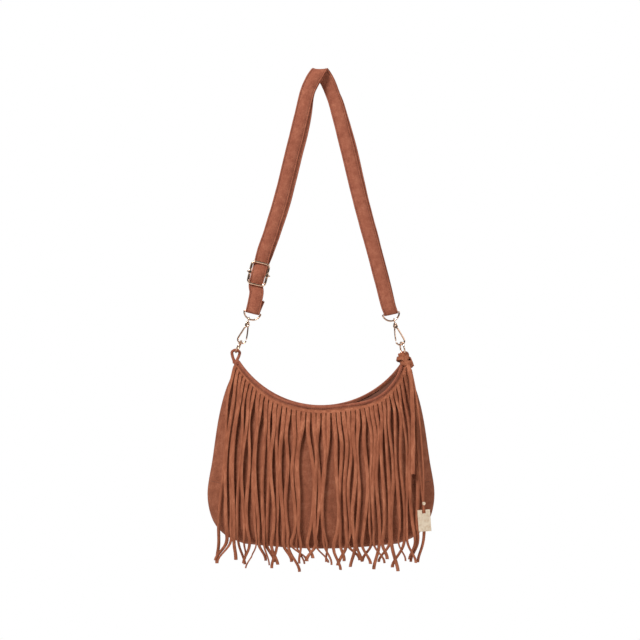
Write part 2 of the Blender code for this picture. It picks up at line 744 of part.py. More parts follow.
def make_laces(rest_on, parent):
    """The lace knotted round the right tab, and the thin lace that the tag hangs on."""
    offset = parent.location / MM
    front_tail = hang(rest_on, [
        Vector((124.5, -9.0, -424.0)),
        Vector((126.5, -13.0, -450.0)),
        Vector((127.3, -16.0, -475.0)),
        Vector((127.5, -18.0, -500.0)),
        Vector((127.2, -20.0, -530.0)),
        Vector((127.0, -20.0, -560.0)),
    ], LACE_RADIUS)
    knot = [
        *reversed(front_tail),
        Vector((121.0, -8.6, -409.0)),
        Vector((115.0, -9.2, -401.0)),
        Vector((108.6, -6.2, -400.5)),
        Vector((106.4, 0.0, -401.5)),
        Vector((108.8, 6.4, -403.5)),
        Vector((115.5, 8.2, -404.0)),
        Vector((122.5, 5.6, -401.0)),
        Vector((126.4, -0.5, -403.0)),
        Vector((128.6, -4.0, -411.0)),
    ]
    wire_object("knot_lace", spline_through(knot, 3), LACE_RADIUS, "suede", offset, parent)
    thin = hang(rest_on, [
        Vector((132.0, -14.6, -420.0)),
        Vector((136.4, -17.6, -450.0)),
        Vector((139.6, -21.0, -485.0)),
        Vector((141.4, -26.0, -525.0)),
        Vector((142.2, -29.5, -565.0)),
        Vector((142.2, -31.0, -595.0)),
    ], TAG_LACE_RADIUS)
    thin.append(Vector((TAG_TOP.x, TAG_TOP.y, TAG_TOP.z - 1.0)))
    wire_object("tag_lace", spline_through(thin, 8), TAG_LACE_RADIUS, "suede", offset, parent)
    rivet_place = Vector((TAG_TOP.x + 0.2, TAG_TOP.y - TAG_LACE_RADIUS - 0.3 - RIVET_HEIGHT / 2, -600.6))
    cylinder("tag_rivet", rivet_place, Y_AXIS, RIVET_RADIUS, RIVET_HEIGHT, "pale_gold", parent=parent)


def make_tag(parent):
    """The plain metal tag, with a square notch for the lace in its top edge."""
    half, low = TAG_WIDTH / 2, TAG_HEIGHT
    notch = TAG_NOTCH / 2
    outline = [(-half, 0), (-notch, 0), (-notch, -TAG_NOTCH), (notch, -TAG_NOTCH), (notch, 0), (half, 0),
               (half, -low), (-half, -low)]
    across, up = leaning(TAG_TILT)
    hang = TAG_TOP + up * 1.5
    points = []
    for y in (-TAG_THICKNESS / 2, TAG_THICKNESS / 2):
        points += [hang + across * x + up * z + Y_AXIS * y for x, z in outline]
    count = len(outline)
    faces = [tuple(range(count)), tuple(reversed(range(count, 2 * count)))]
    faces += [(i, (i + 1) % count, count + (i + 1) % count, count + i) for i in range(count)]
    return mesh_object("tag_plate", points, faces, "pale_gold", TAG_TOP, parent, smooth=False)


def make_snap(parent):
    """The two halves of the magnetic snap, each on its lining just inside the mouth."""
    inner = PANEL_WALL + LINING_GAP + LINING_WALL
    for name, facing in (("snap_socket", 1), ("snap_stud", -1)):
        face = body_point(0.0, SNAP_SHARE, inner, facing)
        place = Vector((0.0, face.y - facing * (SNAP_THICKNESS / 2 + 4.0), face.z))
        cylinder(name, place, Y_AXIS, SNAP_RADIUS, SNAP_THICKNESS, "rose_gold", parent=parent, sides=24)


def make_bag():
    """Everything below the hooks, on an empty at the line that the bag swings about."""
    middle = (LEFT.wire_at_ring + RIGHT.wire_at_ring) / 2
    swing = add_empty("bag_swing_axis", middle)
    lining_outer = PANEL_WALL + LINING_GAP
    front = thick_panel("front_panel", -1, 0.0, PANEL_WALL, "suede", swing)
    thick_panel("back_panel", 1, 0.0, PANEL_WALL, "suede", swing)
    thick_panel("lining_front", -1, lining_outer, lining_outer + LINING_WALL, "lining_cloth", swing)
    thick_panel("lining_back", 1, lining_outer, lining_outer + LINING_WALL, "lining_cloth", swing)
    make_binding("front_binding", -1, swing)
    make_binding("back_binding", 1, swing)
    bpy.context.view_layer.update()
    fringe = make_fringe(drape_on(front), swing)
    for side in (LEFT, RIGHT):
        make_tab(side, swing)
        make_ring(side, swing)
    make_laces(drape_on(front, fringe), swing)
    make_tag(swing)
    make_snap(swing)


def main():
    """Builds the whole bag at rest."""
    clear_scene()
    make_strap()
    make_buckle()
    for side in (LEFT, RIGHT):
        make_d_ring(side)
        make_swivel_eye(side)
        make_hook(side)
        make_gate(side)
    make_bag()


main()
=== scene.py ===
"""The looks of a fringed suede shoulder bag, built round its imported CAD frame.

Sizes are in millimetres unless a name says otherwise, and MM turns them to metres
when a mesh is made. The origin is the hang point under the top of the strap,
+X is to the right of the fringed front, -Y is out of the front and +Z is up.
"""

import logging
import math
import random
from dataclasses import dataclass, field
from enum import Enum

import bmesh
import bpy
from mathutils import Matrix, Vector, noise
from mathutils.bvhtree import BVHTree


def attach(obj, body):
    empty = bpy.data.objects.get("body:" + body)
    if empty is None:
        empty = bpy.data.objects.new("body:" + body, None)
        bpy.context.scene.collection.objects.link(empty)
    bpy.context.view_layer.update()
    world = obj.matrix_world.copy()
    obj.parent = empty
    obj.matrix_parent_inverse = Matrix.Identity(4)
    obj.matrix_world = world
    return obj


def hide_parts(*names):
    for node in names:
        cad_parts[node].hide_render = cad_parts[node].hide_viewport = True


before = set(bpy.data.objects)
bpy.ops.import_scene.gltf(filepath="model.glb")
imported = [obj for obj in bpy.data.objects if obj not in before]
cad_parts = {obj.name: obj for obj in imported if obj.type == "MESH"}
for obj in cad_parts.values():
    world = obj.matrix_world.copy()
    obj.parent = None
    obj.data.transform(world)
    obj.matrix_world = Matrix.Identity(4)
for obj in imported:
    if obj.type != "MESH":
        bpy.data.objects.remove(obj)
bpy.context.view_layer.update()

LOG = logging.getLogger("fringed_bag")
MM = 0.001
Y_AXIS = Vector((0.0, 1.0, 0.0))
Z_AXIS = Vector((0.0, 0.0, 1.0))


class Body(Enum):
    """The CAD bodies that pieces ride on."""

    STRAP = "strap"
    BAG = "bag"
    TAG = "tag"


# ------------------------------------------------------------------ shader helpers


def linear(hex_colour: str) -> tuple[float, float, float, float]:
    """Turns an sRGB hex colour to linear RGBA.

    Args:
        hex_colour: Six hex digits, such as "a36751".

    Returns:
        Red, green, blue and alpha, each from 0 to 1.
    """
    channels = [int(hex_colour[i : i + 2], 16) / 255 for i in (0, 2, 4)]
    converted = [c / 12.92 if c <= 0.04045 else ((c + 0.055) / 1.055) ** 2.4 for c in channels]
    return (*converted, 1.0)


def set_up(node: bpy.types.Node, settings: dict | None = None, links: dict | None = None):
    """Sets a shader node's values and feeds its inputs.

    Args:
        node: The node.
        settings: Attribute names, or input names or indices, to their values.
        links: Input names or indices to the output sockets that feed them.

    Returns:
        The node.
    """
    for name, value in (settings or {}).items():
        if isinstance(name, int) or name in node.inputs:
            node.inputs[name].default_value = value
        else:
            setattr(node, name, value)
    for name, socket in (links or {}).items():
        node.id_data.links.new(socket, node.inputs[name])
    return node


def add_node(owner: bpy.types.ID, kind: str, settings: dict | None = None, links: dict | None = None):
    """Adds a node of a kind (its bl_idname) to a material or world, set up as set_up says."""
    return set_up(owner.node_tree.nodes.new(kind), settings, links)


def ramp(material: bpy.types.Material, source, stops: list[tuple[float, str]]):
    """A colour ramp through the given places and sRGB hex colours, fed by a socket."""
    node = add_node(material, "ShaderNodeValToRGB", links={"Fac": source})
    elements = node.color_ramp.elements
    while len(elements) < len(stops):
        elements.new(0.5)
    for element, (place, colour) in zip(elements, stops):
        element.position = place
        element.color = linear(colour)
    return node.outputs["Color"]


def new_material(name: str):
    """A node material and its Principled shader, empty of patterns."""
    material = bpy.data.materials.new(name)
    material.use_nodes = True
    return material, material.node_tree.nodes["Principled BSDF"]


@dataclass(frozen=True)
class Suede:
    """Faux suede: a brushed, napped face whose fibres lie in cloudy patches.

    The patches give soft light and dark clouds, the nap gives a fine grain and a
    pale sheen at glancing angles, and the weave of the backing hardly shows.
    """

    name: str
    dark: str
    middle: str
    light: str
    cloud_mm: float = 9.0
    mottle_mm: float = 2.2
    nap_mm: float = 0.5
    stretch: float = 1.0
    bump: float = 0.35

    def material(self) -> bpy.types.Material:
        """Builds the suede's material."""
        material, shader = new_material(self.name)
        place = add_node(material, "ShaderNodeTexCoord").outputs["Object"]
        grain = add_node(material, "ShaderNodeMapping", {"Scale": (1.0, 1.0, 1.0 / self.stretch)},
                         {"Vector": place}).outputs["Vector"]
        clouds, mottle, nap = (
            add_node(material, "ShaderNodeTexNoise",
                     {"Scale": 1.0 / (size * MM), "Detail": detail, "Roughness": roughness},
                     {"Vector": source}).outputs["Fac"]
            for size, detail, roughness, source in ((self.cloud_mm, 4.0, 0.6, grain),
                                                    (self.mottle_mm, 3.0, 0.7, grain),
                                                    (self.nap_mm, 2.0, 0.6, place)))
        half = add_node(material, "ShaderNodeMath", {"operation": "MULTIPLY", 1: 0.55}, {0: clouds})
        blend = add_node(material, "ShaderNodeMath", {"operation": "MULTIPLY_ADD", 1: 0.45},
                         {0: mottle, 2: half.outputs[0]})
        colour = ramp(material, blend.outputs[0],
                      [(0.28, self.dark), (0.50, self.middle), (0.72, self.light)])
        fine = add_node(material, "ShaderNodeBump", {"Strength": self.bump, "Distance": 0.25 * MM},
                        {"Height": nap})
        soft = add_node(material, "ShaderNodeBump", {"Strength": self.bump * 1.3, "Distance": 0.7 * MM},
                        {"Height": mottle, "Normal": fine.outputs["Normal"]})
        set_up(shader, {"Roughness": 0.95, "Specular IOR Level": 0.18, "Sheen Weight": 0.35,
                        "Sheen Roughness": 0.45, "Sheen Tint": linear(self.light)},
               {"Base Color": colour, "Normal": soft.outputs["Normal"]})
        return material


@dataclass(frozen=True)
class Cloth:
    """Plain woven lining: a dark cloth whose threads show as a fine check."""

    name: str
    dark: str
    light: str
    thread_mm: float = 0.9

    def material(self) -> bpy.types.Material:
        """Builds the woven cloth's material; the thread is drawn coarse enough to show."""
        material, shader = new_material(self.name)
        place = add_node(material, "ShaderNodeTexCoord").outputs["Object"]
        across, down = (
            add_node(material, "ShaderNodeTexWave",
                     {"bands_direction": way, "Scale": 0.5 / (self.thread_mm * MM) / 3.2, "Distortion": 0.6},
                     {"Vector": place}).outputs["Fac"] for way in "XZ")
        weave = add_node(material, "ShaderNodeMath", {"operation": "MULTIPLY"}, {0: across, 1: down})
        colour = ramp(material, weave.outputs[0], [(0.1, self.dark), (0.8, self.light)])
        bump = add_node(material, "ShaderNodeBump", {"Strength": 0.4, "Distance": 0.2 * MM},
                        {"Height": weave.outputs[0]})
        set_up(shader, {"Roughness": 0.85}, {"Base Color": colour, "Normal": bump.outputs["Normal"]})
        return material


@dataclass(frozen=True)
class PlatedMetal:
    """Plated zinc casting or wire: bright, with slight hand-polished unevenness and faint wear."""

    name: str
    colour: str
    worn: str
    roughness: float

    def material(self) -> bpy.types.Material:
        """Builds the plating's material."""
        material, shader = new_material(self.name)
        place = add_node(material, "ShaderNodeTexCoord").outputs["Object"]
        polish = add_node(material, "ShaderNodeTexNoise", {"Scale": 1.0 / (3.0 * MM), "Detail": 3.0},
                          {"Vector": place}).outputs["Fac"]
        colour = ramp(material, polish, [(0.35, self.worn), (0.55, self.colour)])
        gloss = add_node(material, "ShaderNodeMapRange",
                         {"To Min": self.roughness * 0.8, "To Max": self.roughness * 1.3}, {"Value": polish})
        bump = add_node(material, "ShaderNodeBump", {"Strength": 0.06, "Distance": 0.1 * MM},
                        {"Height": polish})
        set_up(shader, {"Metallic": 1.0}, {"Base Color": colour, "Roughness": gloss.outputs["Result"],
                                           "Normal": bump.outputs["Normal"]})
        return material


@dataclass(frozen=True)
class Thread:
    """Sewing thread: matt polyester, a little darker than the suede it closes."""

    name: str
    colour: str
    twist: str

    def material(self) -> bpy.types.Material:
        """Builds the thread's material, with a fine two-tone twist."""
        material, shader = new_material(self.name)
        place = add_node(material, "ShaderNodeTexCoord").outputs["Object"]
        twist = add_node(material, "ShaderNodeTexNoise", {"Scale": 1.0 / (0.4 * MM)}, {"Vector": place})
        colour = ramp(material, twist.outputs["Fac"], [(0.4, self.twist), (0.6, self.colour)])
        set_up(shader, {"Roughness": 0.7}, {"Base Color": colour})
        return material


class Finishes:
    """Every finish of the bag, each made once."""

    def __init__(self) -> None:
        """Makes the materials."""
        self.strap = Suede("strap_faux_suede", "7d4331", "975843", "ad6d54", cloud_mm=8.0).material()
        self.body = Suede("body_faux_suede", "6d3c2a", "8d523b", "a86c52", cloud_mm=11.0).material()
        self.fringe = Suede("fringe_faux_suede", "75402b", "9a5b41", "bd7a5b", cloud_mm=8.0,
                            stretch=4.0).material()
        self.lining = Cloth("woven_lining", "573020", "7d4a34").material()
        self.rose_gold = PlatedMetal("rose_gold_plating", "e9c5ab", "cfa283", 0.11).material()
        self.pale_gold = PlatedMetal("pale_gold_plating", "fdecd4", "f8e0c2", 0.52).material()
        self.thread = Thread("tan_polyester_thread", "6f3c2a", "4e2819").material()


# ------------------------------------------------------------------ mesh helpers


def finish_object(obj: bpy.types.Object, material: bpy.types.Material, body: str, angle: float = 40.0):
    """Shades an object, gives it its material and rides it on a CAD body."""
    obj.data.materials.clear()
    obj.data.materials.append(material)
    if obj.type == "MESH":
        obj.data.shade_smooth()
        obj.data.set_sharp_from_angle(angle=math.radians(angle))
    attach(obj, body)
    LOG.info("%s made, riding on %s", obj.name, body)
    return obj


def mesh_object(name: str, points: list, faces: list, closed: bool = True) -> bpy.types.Object:
    """A mesh object at the origin from points in millimetres; a closed one is turned outwards."""
    mesh = bpy.data.meshes.new(name)
    mesh.from_pydata([tuple(Vector(p) * MM) for p in points], [], faces)
    if closed:
        build = bmesh.new()
        build.from_mesh(mesh)
        bmesh.ops.recalc_face_normals(build, faces=build.faces)
        build.to_mesh(mesh)
        build.free()
    obj = bpy.data.objects.new(name, mesh)
    bpy.context.scene.collection.objects.link(obj)
    return obj


def select_only(obj: bpy.types.Object) -> None:
    """Makes an object the active one, and the only one selected."""
    bpy.ops.object.select_all(action="DESELECT")
    bpy.context.view_layer.objects.active = obj
    obj.select_set(True)


def apply_modifiers(obj: bpy.types.Object) -> None:
    """Applies each modifier of the object in turn."""
    select_only(obj)
    for modifier in list(obj.modifiers):
        bpy.ops.object.modifier_apply(modifier=modifier.name)
    obj.select_set(False)


def thicken(obj: bpy.types.Object, thickness: float, offset: float) -> None:
    """Gives an open sheet its thickness, behind it at offset -1 and half to each side at 0."""
    wall = obj.modifiers.new("wall", "SOLIDIFY")
    wall.thickness = thickness * MM
    wall.offset = offset
    apply_modifiers(obj)


def vectors(*places: tuple) -> list:
    """Vectors from (x, y, z) places."""
    return [Vector(place) for place in places]


def run_length(places: list) -> float:
    """The length of the line through some places."""
    return sum((after - before).length for before, after in zip(places, places[1:]))


def oval(half: float, deep: float, count: int) -> list:
    """An oval section with so many corners, as (across, through) pairs."""
    angles = [math.tau * index / count for index in range(count)]
    return [(half * math.cos(angle), deep * math.sin(angle)) for angle in angles]


def spline_through(points: list, steps: int) -> list:
    """Points on a Catmull-Rom curve through the given vectors, ends included."""
    padded = [2 * points[0] - points[1], *points, 2 * points[-1] - points[-2]]
    curve = []
    for index in range(1, len(padded) - 2):
        a, b, c, d = padded[index - 1 : index + 3]
        for step in range(steps):
            t = step / steps
            curve.append(0.5 * (2 * b + (c - a) * t + (2 * a - 5 * b + 4 * c - d) * t**2
                                + (3 * b - a - 3 * c + d) * t**3))
    curve.append(points[-1].copy())
    return curve


def sweep(centres: list, acrosses: list, section: list, closed: bool = False) -> tuple[list, list]:
    """Points and faces of a section swept along centres.

    Args:
        centres: The line that the section's middle follows.
        acrosses: The section's first direction at each centre.
        section: (across, through) pairs round the section, in order.
        closed: Whether the line joins up with its own start.

    Returns:
        The points and the faces.
    """
    count, size = len(centres), len(section)
    points, faces = [], []
    for index, centre in enumerate(centres):
        before = centres[index - 1] if closed or index else centre
        after = centres[(index + 1) % count] if closed or index + 1 < count else centre
        direction = (after - before).normalized()
        across = (acrosses[index] - direction * acrosses[index].dot(direction)).normalized()
        normal = across.cross(direction)
        points += [centre + across * a + normal * b for a, b in section]
    for index in range(count if closed else count - 1):
        start, end = index * size, (index + 1) % count * size
        for side in range(size):
            following = (side + 1) % size
            faces.append((start + side, start + following, end + following, end + side))
    if not closed:
        faces += [tuple(range(size)), tuple(reversed(range(len(points) - size, len(points))))]
    return points, faces


def leaning(lean: float) -> tuple[Vector, Vector]:
    """Across and up directions of a leg that leans in the XZ plane."""
    up = Vector((math.sin(lean), 0.0, math.cos(lean)))
    across = Vector((math.cos(lean), 0.0, -math.sin(lean)))
    return across, up


def smoothstep(low: float, high: float, value: float) -> float:
    """0 below low, 1 above high, and a soft rise between."""
    t = min(max((value - low) / (high - low), 0.0), 1.0)
    return t * t * (3 - 2 * t)


# ------------------------------------------------------------------ strap


@dataclass
class Strap:
    """One long suede band, doubled over its hanging point, with a stitched line near each edge."""

    width: float = 20.0
    thickness: float = 1.8
    layer_gap: float = 0.4
    stitch_inset: float = 2.3
    stitch_pitch: float = 3.0
    stitch_length: float = 2.0
    left_bar: Vector = field(default_factory=lambda: Vector((-95.6, 0.0, -335.0)))
    right_bar: Vector = field(default_factory=lambda: Vector((97.6, 0.0, -336.5)))
    left_lean: float = math.radians(14.0)
    right_lean: float = math.radians(-12.0)
    buckle_centre: Vector = field(default_factory=lambda: Vector((-87.5, -2.2, -282.0)))
    buckle_lean: float = math.radians(13.6)
    buckle_height: float = 31.4
    bar_set_back: float = 3.6
    ring_wire: float = 1.2
    buckle_wire: float = 1.15
    slide_wire: float = 1.0
    flap_length: float = 19.0
    flap_steps: int = 6
    flap_slip: float = 3.2
    layer_slip: float = 1.5

    def wrap(self, centre: Vector, up: Vector, radius: float) -> list:
        """Places round a bar, from behind it, below it, to in front of it."""
        angles = [math.pi * index / 16 for index in range(17)]
        return [centre + Y_AXIS * (radius * math.cos(a)) - up * (radius * math.sin(a)) for a in angles]

    def run(self, stops: list) -> list:
        """(place, across) along a run of the band, from (x, y, z, turn in degrees) stops."""
        places = spline_through([Vector(stop[:3]) for stop in stops], 10)
        turns = spline_through([Vector((stop[3], 0.0, 0.0)) for stop in stops], 10)
        angles = [math.radians(turn.x) for turn in turns]
        return [(p, Vector((math.cos(a), -math.sin(a), 0.0))) for p, a in zip(places, angles)]

    def route(self) -> list:
        """(place, across) along the whole band, from its first sewn end to its last."""
        left_across, left_up = leaning(self.left_lean)
        right_across, right_up = leaning(self.right_lean)
        slide_across, slide_up = leaning(self.buckle_lean)
        pitch = self.thickness + self.layer_gap
        round_bar = self.ring_wire + self.layer_gap + self.thickness / 2
        round_slide = self.slide_wire + self.layer_gap + self.thickness / 2
        bar = self.buckle_centre + Y_AXIS * self.bar_set_back
        behind_wire = self.buckle_centre.y + self.buckle_wire + self.layer_gap + self.thickness / 2 + 0.3
        low = self.buckle_centre - slide_up * (self.buckle_height / 2)
        high = self.buckle_centre + slide_up * (self.buckle_height / 2)
        flap_end = self.left_bar + left_up * self.flap_length + Y_AXIS * (round_bar + 0.2)
        band = []
        for step in range(self.flap_steps):
            slip = left_across * (self.flap_slip * (1 - step / self.flap_steps))
            fall = left_up * (self.flap_length * step / self.flap_steps)
            band.append((flap_end - fall + slip, left_across))
        band += [(place, left_across) for place in self.wrap(self.left_bar, left_up, round_bar)]
        band += self.run([
            (-93.4, -2.9, -326.0, 0), (-90.2, -1.6, -309.0, 0), (low.x, behind_wire, low.z, 0),
            (self.buckle_centre.x, bar.y - round_slide - pitch, self.buckle_centre.z, 0),
            (high.x, behind_wire, high.z, 0), (-79.4, -0.8, -250.0, 0), (-70.5, -1.1, -224.0, 0),
            (-56.7, -2.2, -179.0, 0), (-42.5, -4.2, -122.0, 1), (-29.0, -6.2, -68.0, 4),
            (-20.5, -6.8, -32.0, 4), (-12.9, -7.2, -13.7, 0), (-6.4, -6.0, -3.0, 0),
            (-2.8, -3.4, 2.0, 0), (-1.2, 0.0, 3.6, 0), (0.6, 3.4, 2.0, 0), (4.0, 6.0, -3.0, 0),
            (10.4, 6.8, -13.7, 12), (17.8, 7.4, -32.0, 18),
            (24.4, 7.6, -50.0, 10), (42.0, 7.4, -112.0, 3), (57.0, 4.8, -179.0, 0), (74.6, 2.8, -246.0, 0),
            (88.4, 2.2, -300.0, 0), (95.0, 2.4, -328.0, 0)])
        band += [(place, right_across) for place in self.wrap(self.right_bar, right_up, round_bar)]
        band += self.run([
            (94.2, -2.3, -328.0, 0), (86.8, -1.2, -300.0, 0), (72.6, -0.2, -246.0, 0),
            (54.4, 2.2, -179.0, 0), (38.2, 4.8, -112.0, 2), (22.6, 5.4, -50.0, 10),
            (16.6, 5.2, -32.0, 18), (9.4, 4.6, -14.4, 12), (3.4, 3.8, -4.2, 0), (0.2, 1.9, 0.2, 0),
            (-1.2, 0.0, 1.3, 0), (-2.4, -1.9, 0.2, 0), (-5.6, -3.8, -4.2, 0), (-12.2, -5.0, -14.4, 0),
            (-19.4, -4.6, -32.0, 4), (-24.2, -3.8, -68.0, 4),
            (-37.2, -1.8, -122.0, 1), (-51.6, 0.2, -179.0, 0), (-66.0, 1.4, -224.0, 0),
            (-75.4, 2.6, -250.0, 0), (high.x + self.layer_slip, behind_wire + 2 * pitch + 0.2, high.z, 0),
            (bar.x + slide_up.x * 6.0 + self.layer_slip, bar.y + round_slide + 0.9,
             bar.z + slide_up.z * 6.0, 0)])
        band += [(place, slide_across) for place in self.wrap(bar, slide_up, round_slide)]
        rise = high - self.buckle_centre
        flap_high = Vector((high.x, behind_wire + pitch + 0.1, high.z))
        flap = spline_through([bar + slide_up * 1.5 - Y_AXIS * round_slide,
                               bar + rise * 0.45 - Y_AXIS * (round_slide - 0.3),
                               flap_high, flap_high + slide_up * 5.0], 6)
        return band + [(place, slide_across) for place in flap]

    def section(self) -> list:
        """The band's section: rolled edges, a soft crown and a sunk line where the stitches lie."""
        half, deep = self.width / 2, self.thickness / 2
        seam = half - self.stitch_inset
        edge = [(-half, 0.0), (-half + 0.15, -deep * 0.62), (-half + 0.7, -deep)]
        sunk = deep * 0.25
        lower = [(-seam - 0.6, -deep), (-seam, -sunk), (-seam + 0.6, -deep), (0.0, -deep * 1.06),
                 (seam - 0.6, -deep), (seam, -sunk), (seam + 0.6, -deep)]
        other = [(half - 0.7, -deep), (half - 0.15, -deep * 0.62), (half, 0.0)]
        half_round = edge + lower + other
        return half_round + [(a, -b) for a, b in reversed(half_round[1:-1])]

    def stitches(self, band: list) -> bpy.types.Object:
        """Both stitched lines, a short thread at each stitch, on both faces of the band."""
        points, faces = [], []
        travelled, due = 0.0, 0.0
        for index in range(1, len(band)):
            place, across = band[index]
            before = band[index - 1][0]
            direction = place - before
            step = direction.length
            if step < 1e-6:
                continue
            direction.normalize()
            across = (across - direction * across.dot(direction)).normalized()
            normal = across.cross(direction)
            while due < travelled + step:
                middle = before + direction * (due - travelled)
                for side in (-1, 1):
                    for face in (-1, 1):
                        spot = middle + across * (side * (self.width / 2 - self.stitch_inset))
                        spot += normal * (face * (self.thickness / 2 - 0.45))
                        add_stitch(points, faces, spot, direction, across, normal * face, self.stitch_length)
                due += self.stitch_pitch
            travelled += step
        return mesh_object("strap_stitching", points, faces)

    def build(self, finishes: Finishes) -> None:
        """Makes the band and its stitching."""
        band = self.route()
        points, faces = sweep([place for place, _ in band], [across for _, across in band], self.section())
        strap = mesh_object("strap_band", points, faces)
        for vertex in strap.data.vertices:
            ripple = noise.noise(vertex.co / (26.0 * MM)) * 0.35 * MM
            vertex.co.x += ripple
        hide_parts("strap")
        finish_object(strap, finishes.strap, Body.STRAP.value, 50.0)
        finish_object(self.stitches(band), finishes.thread, Body.STRAP.value)


def add_stitch(points: list, faces: list, spot: Vector, along: Vector, across: Vector, up: Vector,
               length: float, thick: float = 0.28) -> None:
    """Adds one stitch, a low hexagonal thread that dips at both ends, to a mesh in the making."""
    start = len(points)
    for share, lift, size in ((-0.5, -0.15, 0.5), (-0.25, 0.12, 1.0), (0.25, 0.12, 1.0), (0.5, -0.15, 0.5)):
        middle = spot + along * (length * share) + up * lift
        for corner in range(5):
            angle = math.tau * corner / 5
            points.append(middle + across * (thick * size * math.cos(angle))
                          + up * (thick * size * math.sin(angle)))
    for ring in range(3):
        for corner in range(5):
            low, high = start + ring * 5, start + ring * 5 + 5
            following = (corner + 1) % 5
            faces.append((low + corner, low + following, high + following, high + corner))
    faces.append(tuple(range(start, start + 5)))
    faces.append(tuple(reversed(range(start + 15, start + 20))))


# ------------------------------------------------------------------ bag body


@dataclass
class BagShape:
    """The crescent body's outline and depth, which the panels, rims and fringe share."""

    rim_radius: float = 135.0
    rim_low: float = -466.5
    tip_angle: float = math.radians(57.6)
    binding_height: float = 4.6
    panel_gap: float = 0.9
    base_corner: tuple = (108.0, -660.0)
    base_low: float = -665.5
    side_outline: tuple = ((133.0, -444.0), (143.5, -485.0), (152.0, -542.0), (159.0, -590.0),
                           (152.0, -626.0), (134.0, -648.0))
    belly_depth: float = 43.0
    mouth_half_gap: float = 12.0
    belly_top: float = 0.62
    panel_rim_tuck: float = 2.4
    dart_z: float = -571.0
    dart_length: float = 36.0

    def __post_init__(self) -> None:
        """Works out the side seam."""
        tip = self.rim_point(self.tip_angle, self.panel_edge)
        places = [tip, *[Vector((x, 0.0, z)) for x, z in self.side_outline],
                  Vector((self.base_corner[0], 0.0, self.base_corner[1]))]
        self.side_curve = spline_through(places, 8)

    @property
    def panel_rim(self) -> float:
        """The radius that the fringe's header starts from, just under the binding."""
        return self.rim_radius + self.binding_height + self.panel_gap

    @property
    def panel_edge(self) -> float:
        """The radius of the panels' upper edge, tucked inside the binding."""
        return self.rim_radius + self.binding_height - self.panel_rim_tuck

    def rim_point(self, angle: float, radius: float) -> Vector:
        """A point of the mouth's arc, angle 0 at its lowest point."""
        centre = self.rim_low + self.rim_radius
        return Vector((radius * math.sin(angle), 0.0, centre - radius * math.cos(angle)))

    def side_point(self, v: float) -> Vector:
        """The side seam's point at a share of its way down."""
        place = min(max(v, 0.0), 1.0) * (len(self.side_curve) - 1)
        low = min(int(place), len(self.side_curve) - 2)
        return self.side_curve[low].lerp(self.side_curve[low + 1], place - low)

    def outline_point(self, u: float, v: float) -> Vector:
        """Where the panel's point (u, v) lies from the front; u runs -1 to 1, v from rim to base."""
        share = (u + 1) / 2
        right = self.side_point(v)
        left = Vector((-right.x, 0.0, right.z))
        rim = self.rim_point(self.tip_angle * u, self.panel_edge)
        corner_x, corner_z = self.base_corner
        base = Vector((corner_x * u, 0.0, self.base_low + (corner_z - self.base_low) * u * u))
        tip, corner = self.side_curve[0], self.side_curve[-1]
        top = Vector((-tip.x, 0, tip.z)) * (1 - share) + tip * share
        low = Vector((-corner.x, 0, corner.z)) * (1 - share) + corner * share
        return rim * (1 - v) + base * v + left * (1 - share) + right * share - top * (1 - v) - low * v

    def belly(self, u: float, v: float) -> float:
        """The panel's depth in front of the seam."""
        across = max(0.0, 1 - abs(u) ** 2.6) ** 0.5
        rise = math.sin(min(v / self.belly_top, 1.0) * math.pi / 2)
        fall = max(0.0, 1 - max(0.0, (v - self.belly_top) / (1 - self.belly_top)) ** 2.6) ** 0.5
        return across * fall * (self.mouth_half_gap + (self.belly_depth - self.mouth_half_gap) * rise)

    def sag(self, u: float, facing: int) -> float:
        """How far the front rim sinks below the back one, most on the right where the mouth gapes."""
        if facing > 0:
            return 0.0
        end = smoothstep(0.0, 0.12, 1 - abs(u))
        gape = 12.5 * math.exp(-(((u - 0.70) / 0.34) ** 2))
        droop = 1.5 * math.exp(-(((u + 0.5) / 0.3) ** 2))
        return end * (gape + droop)


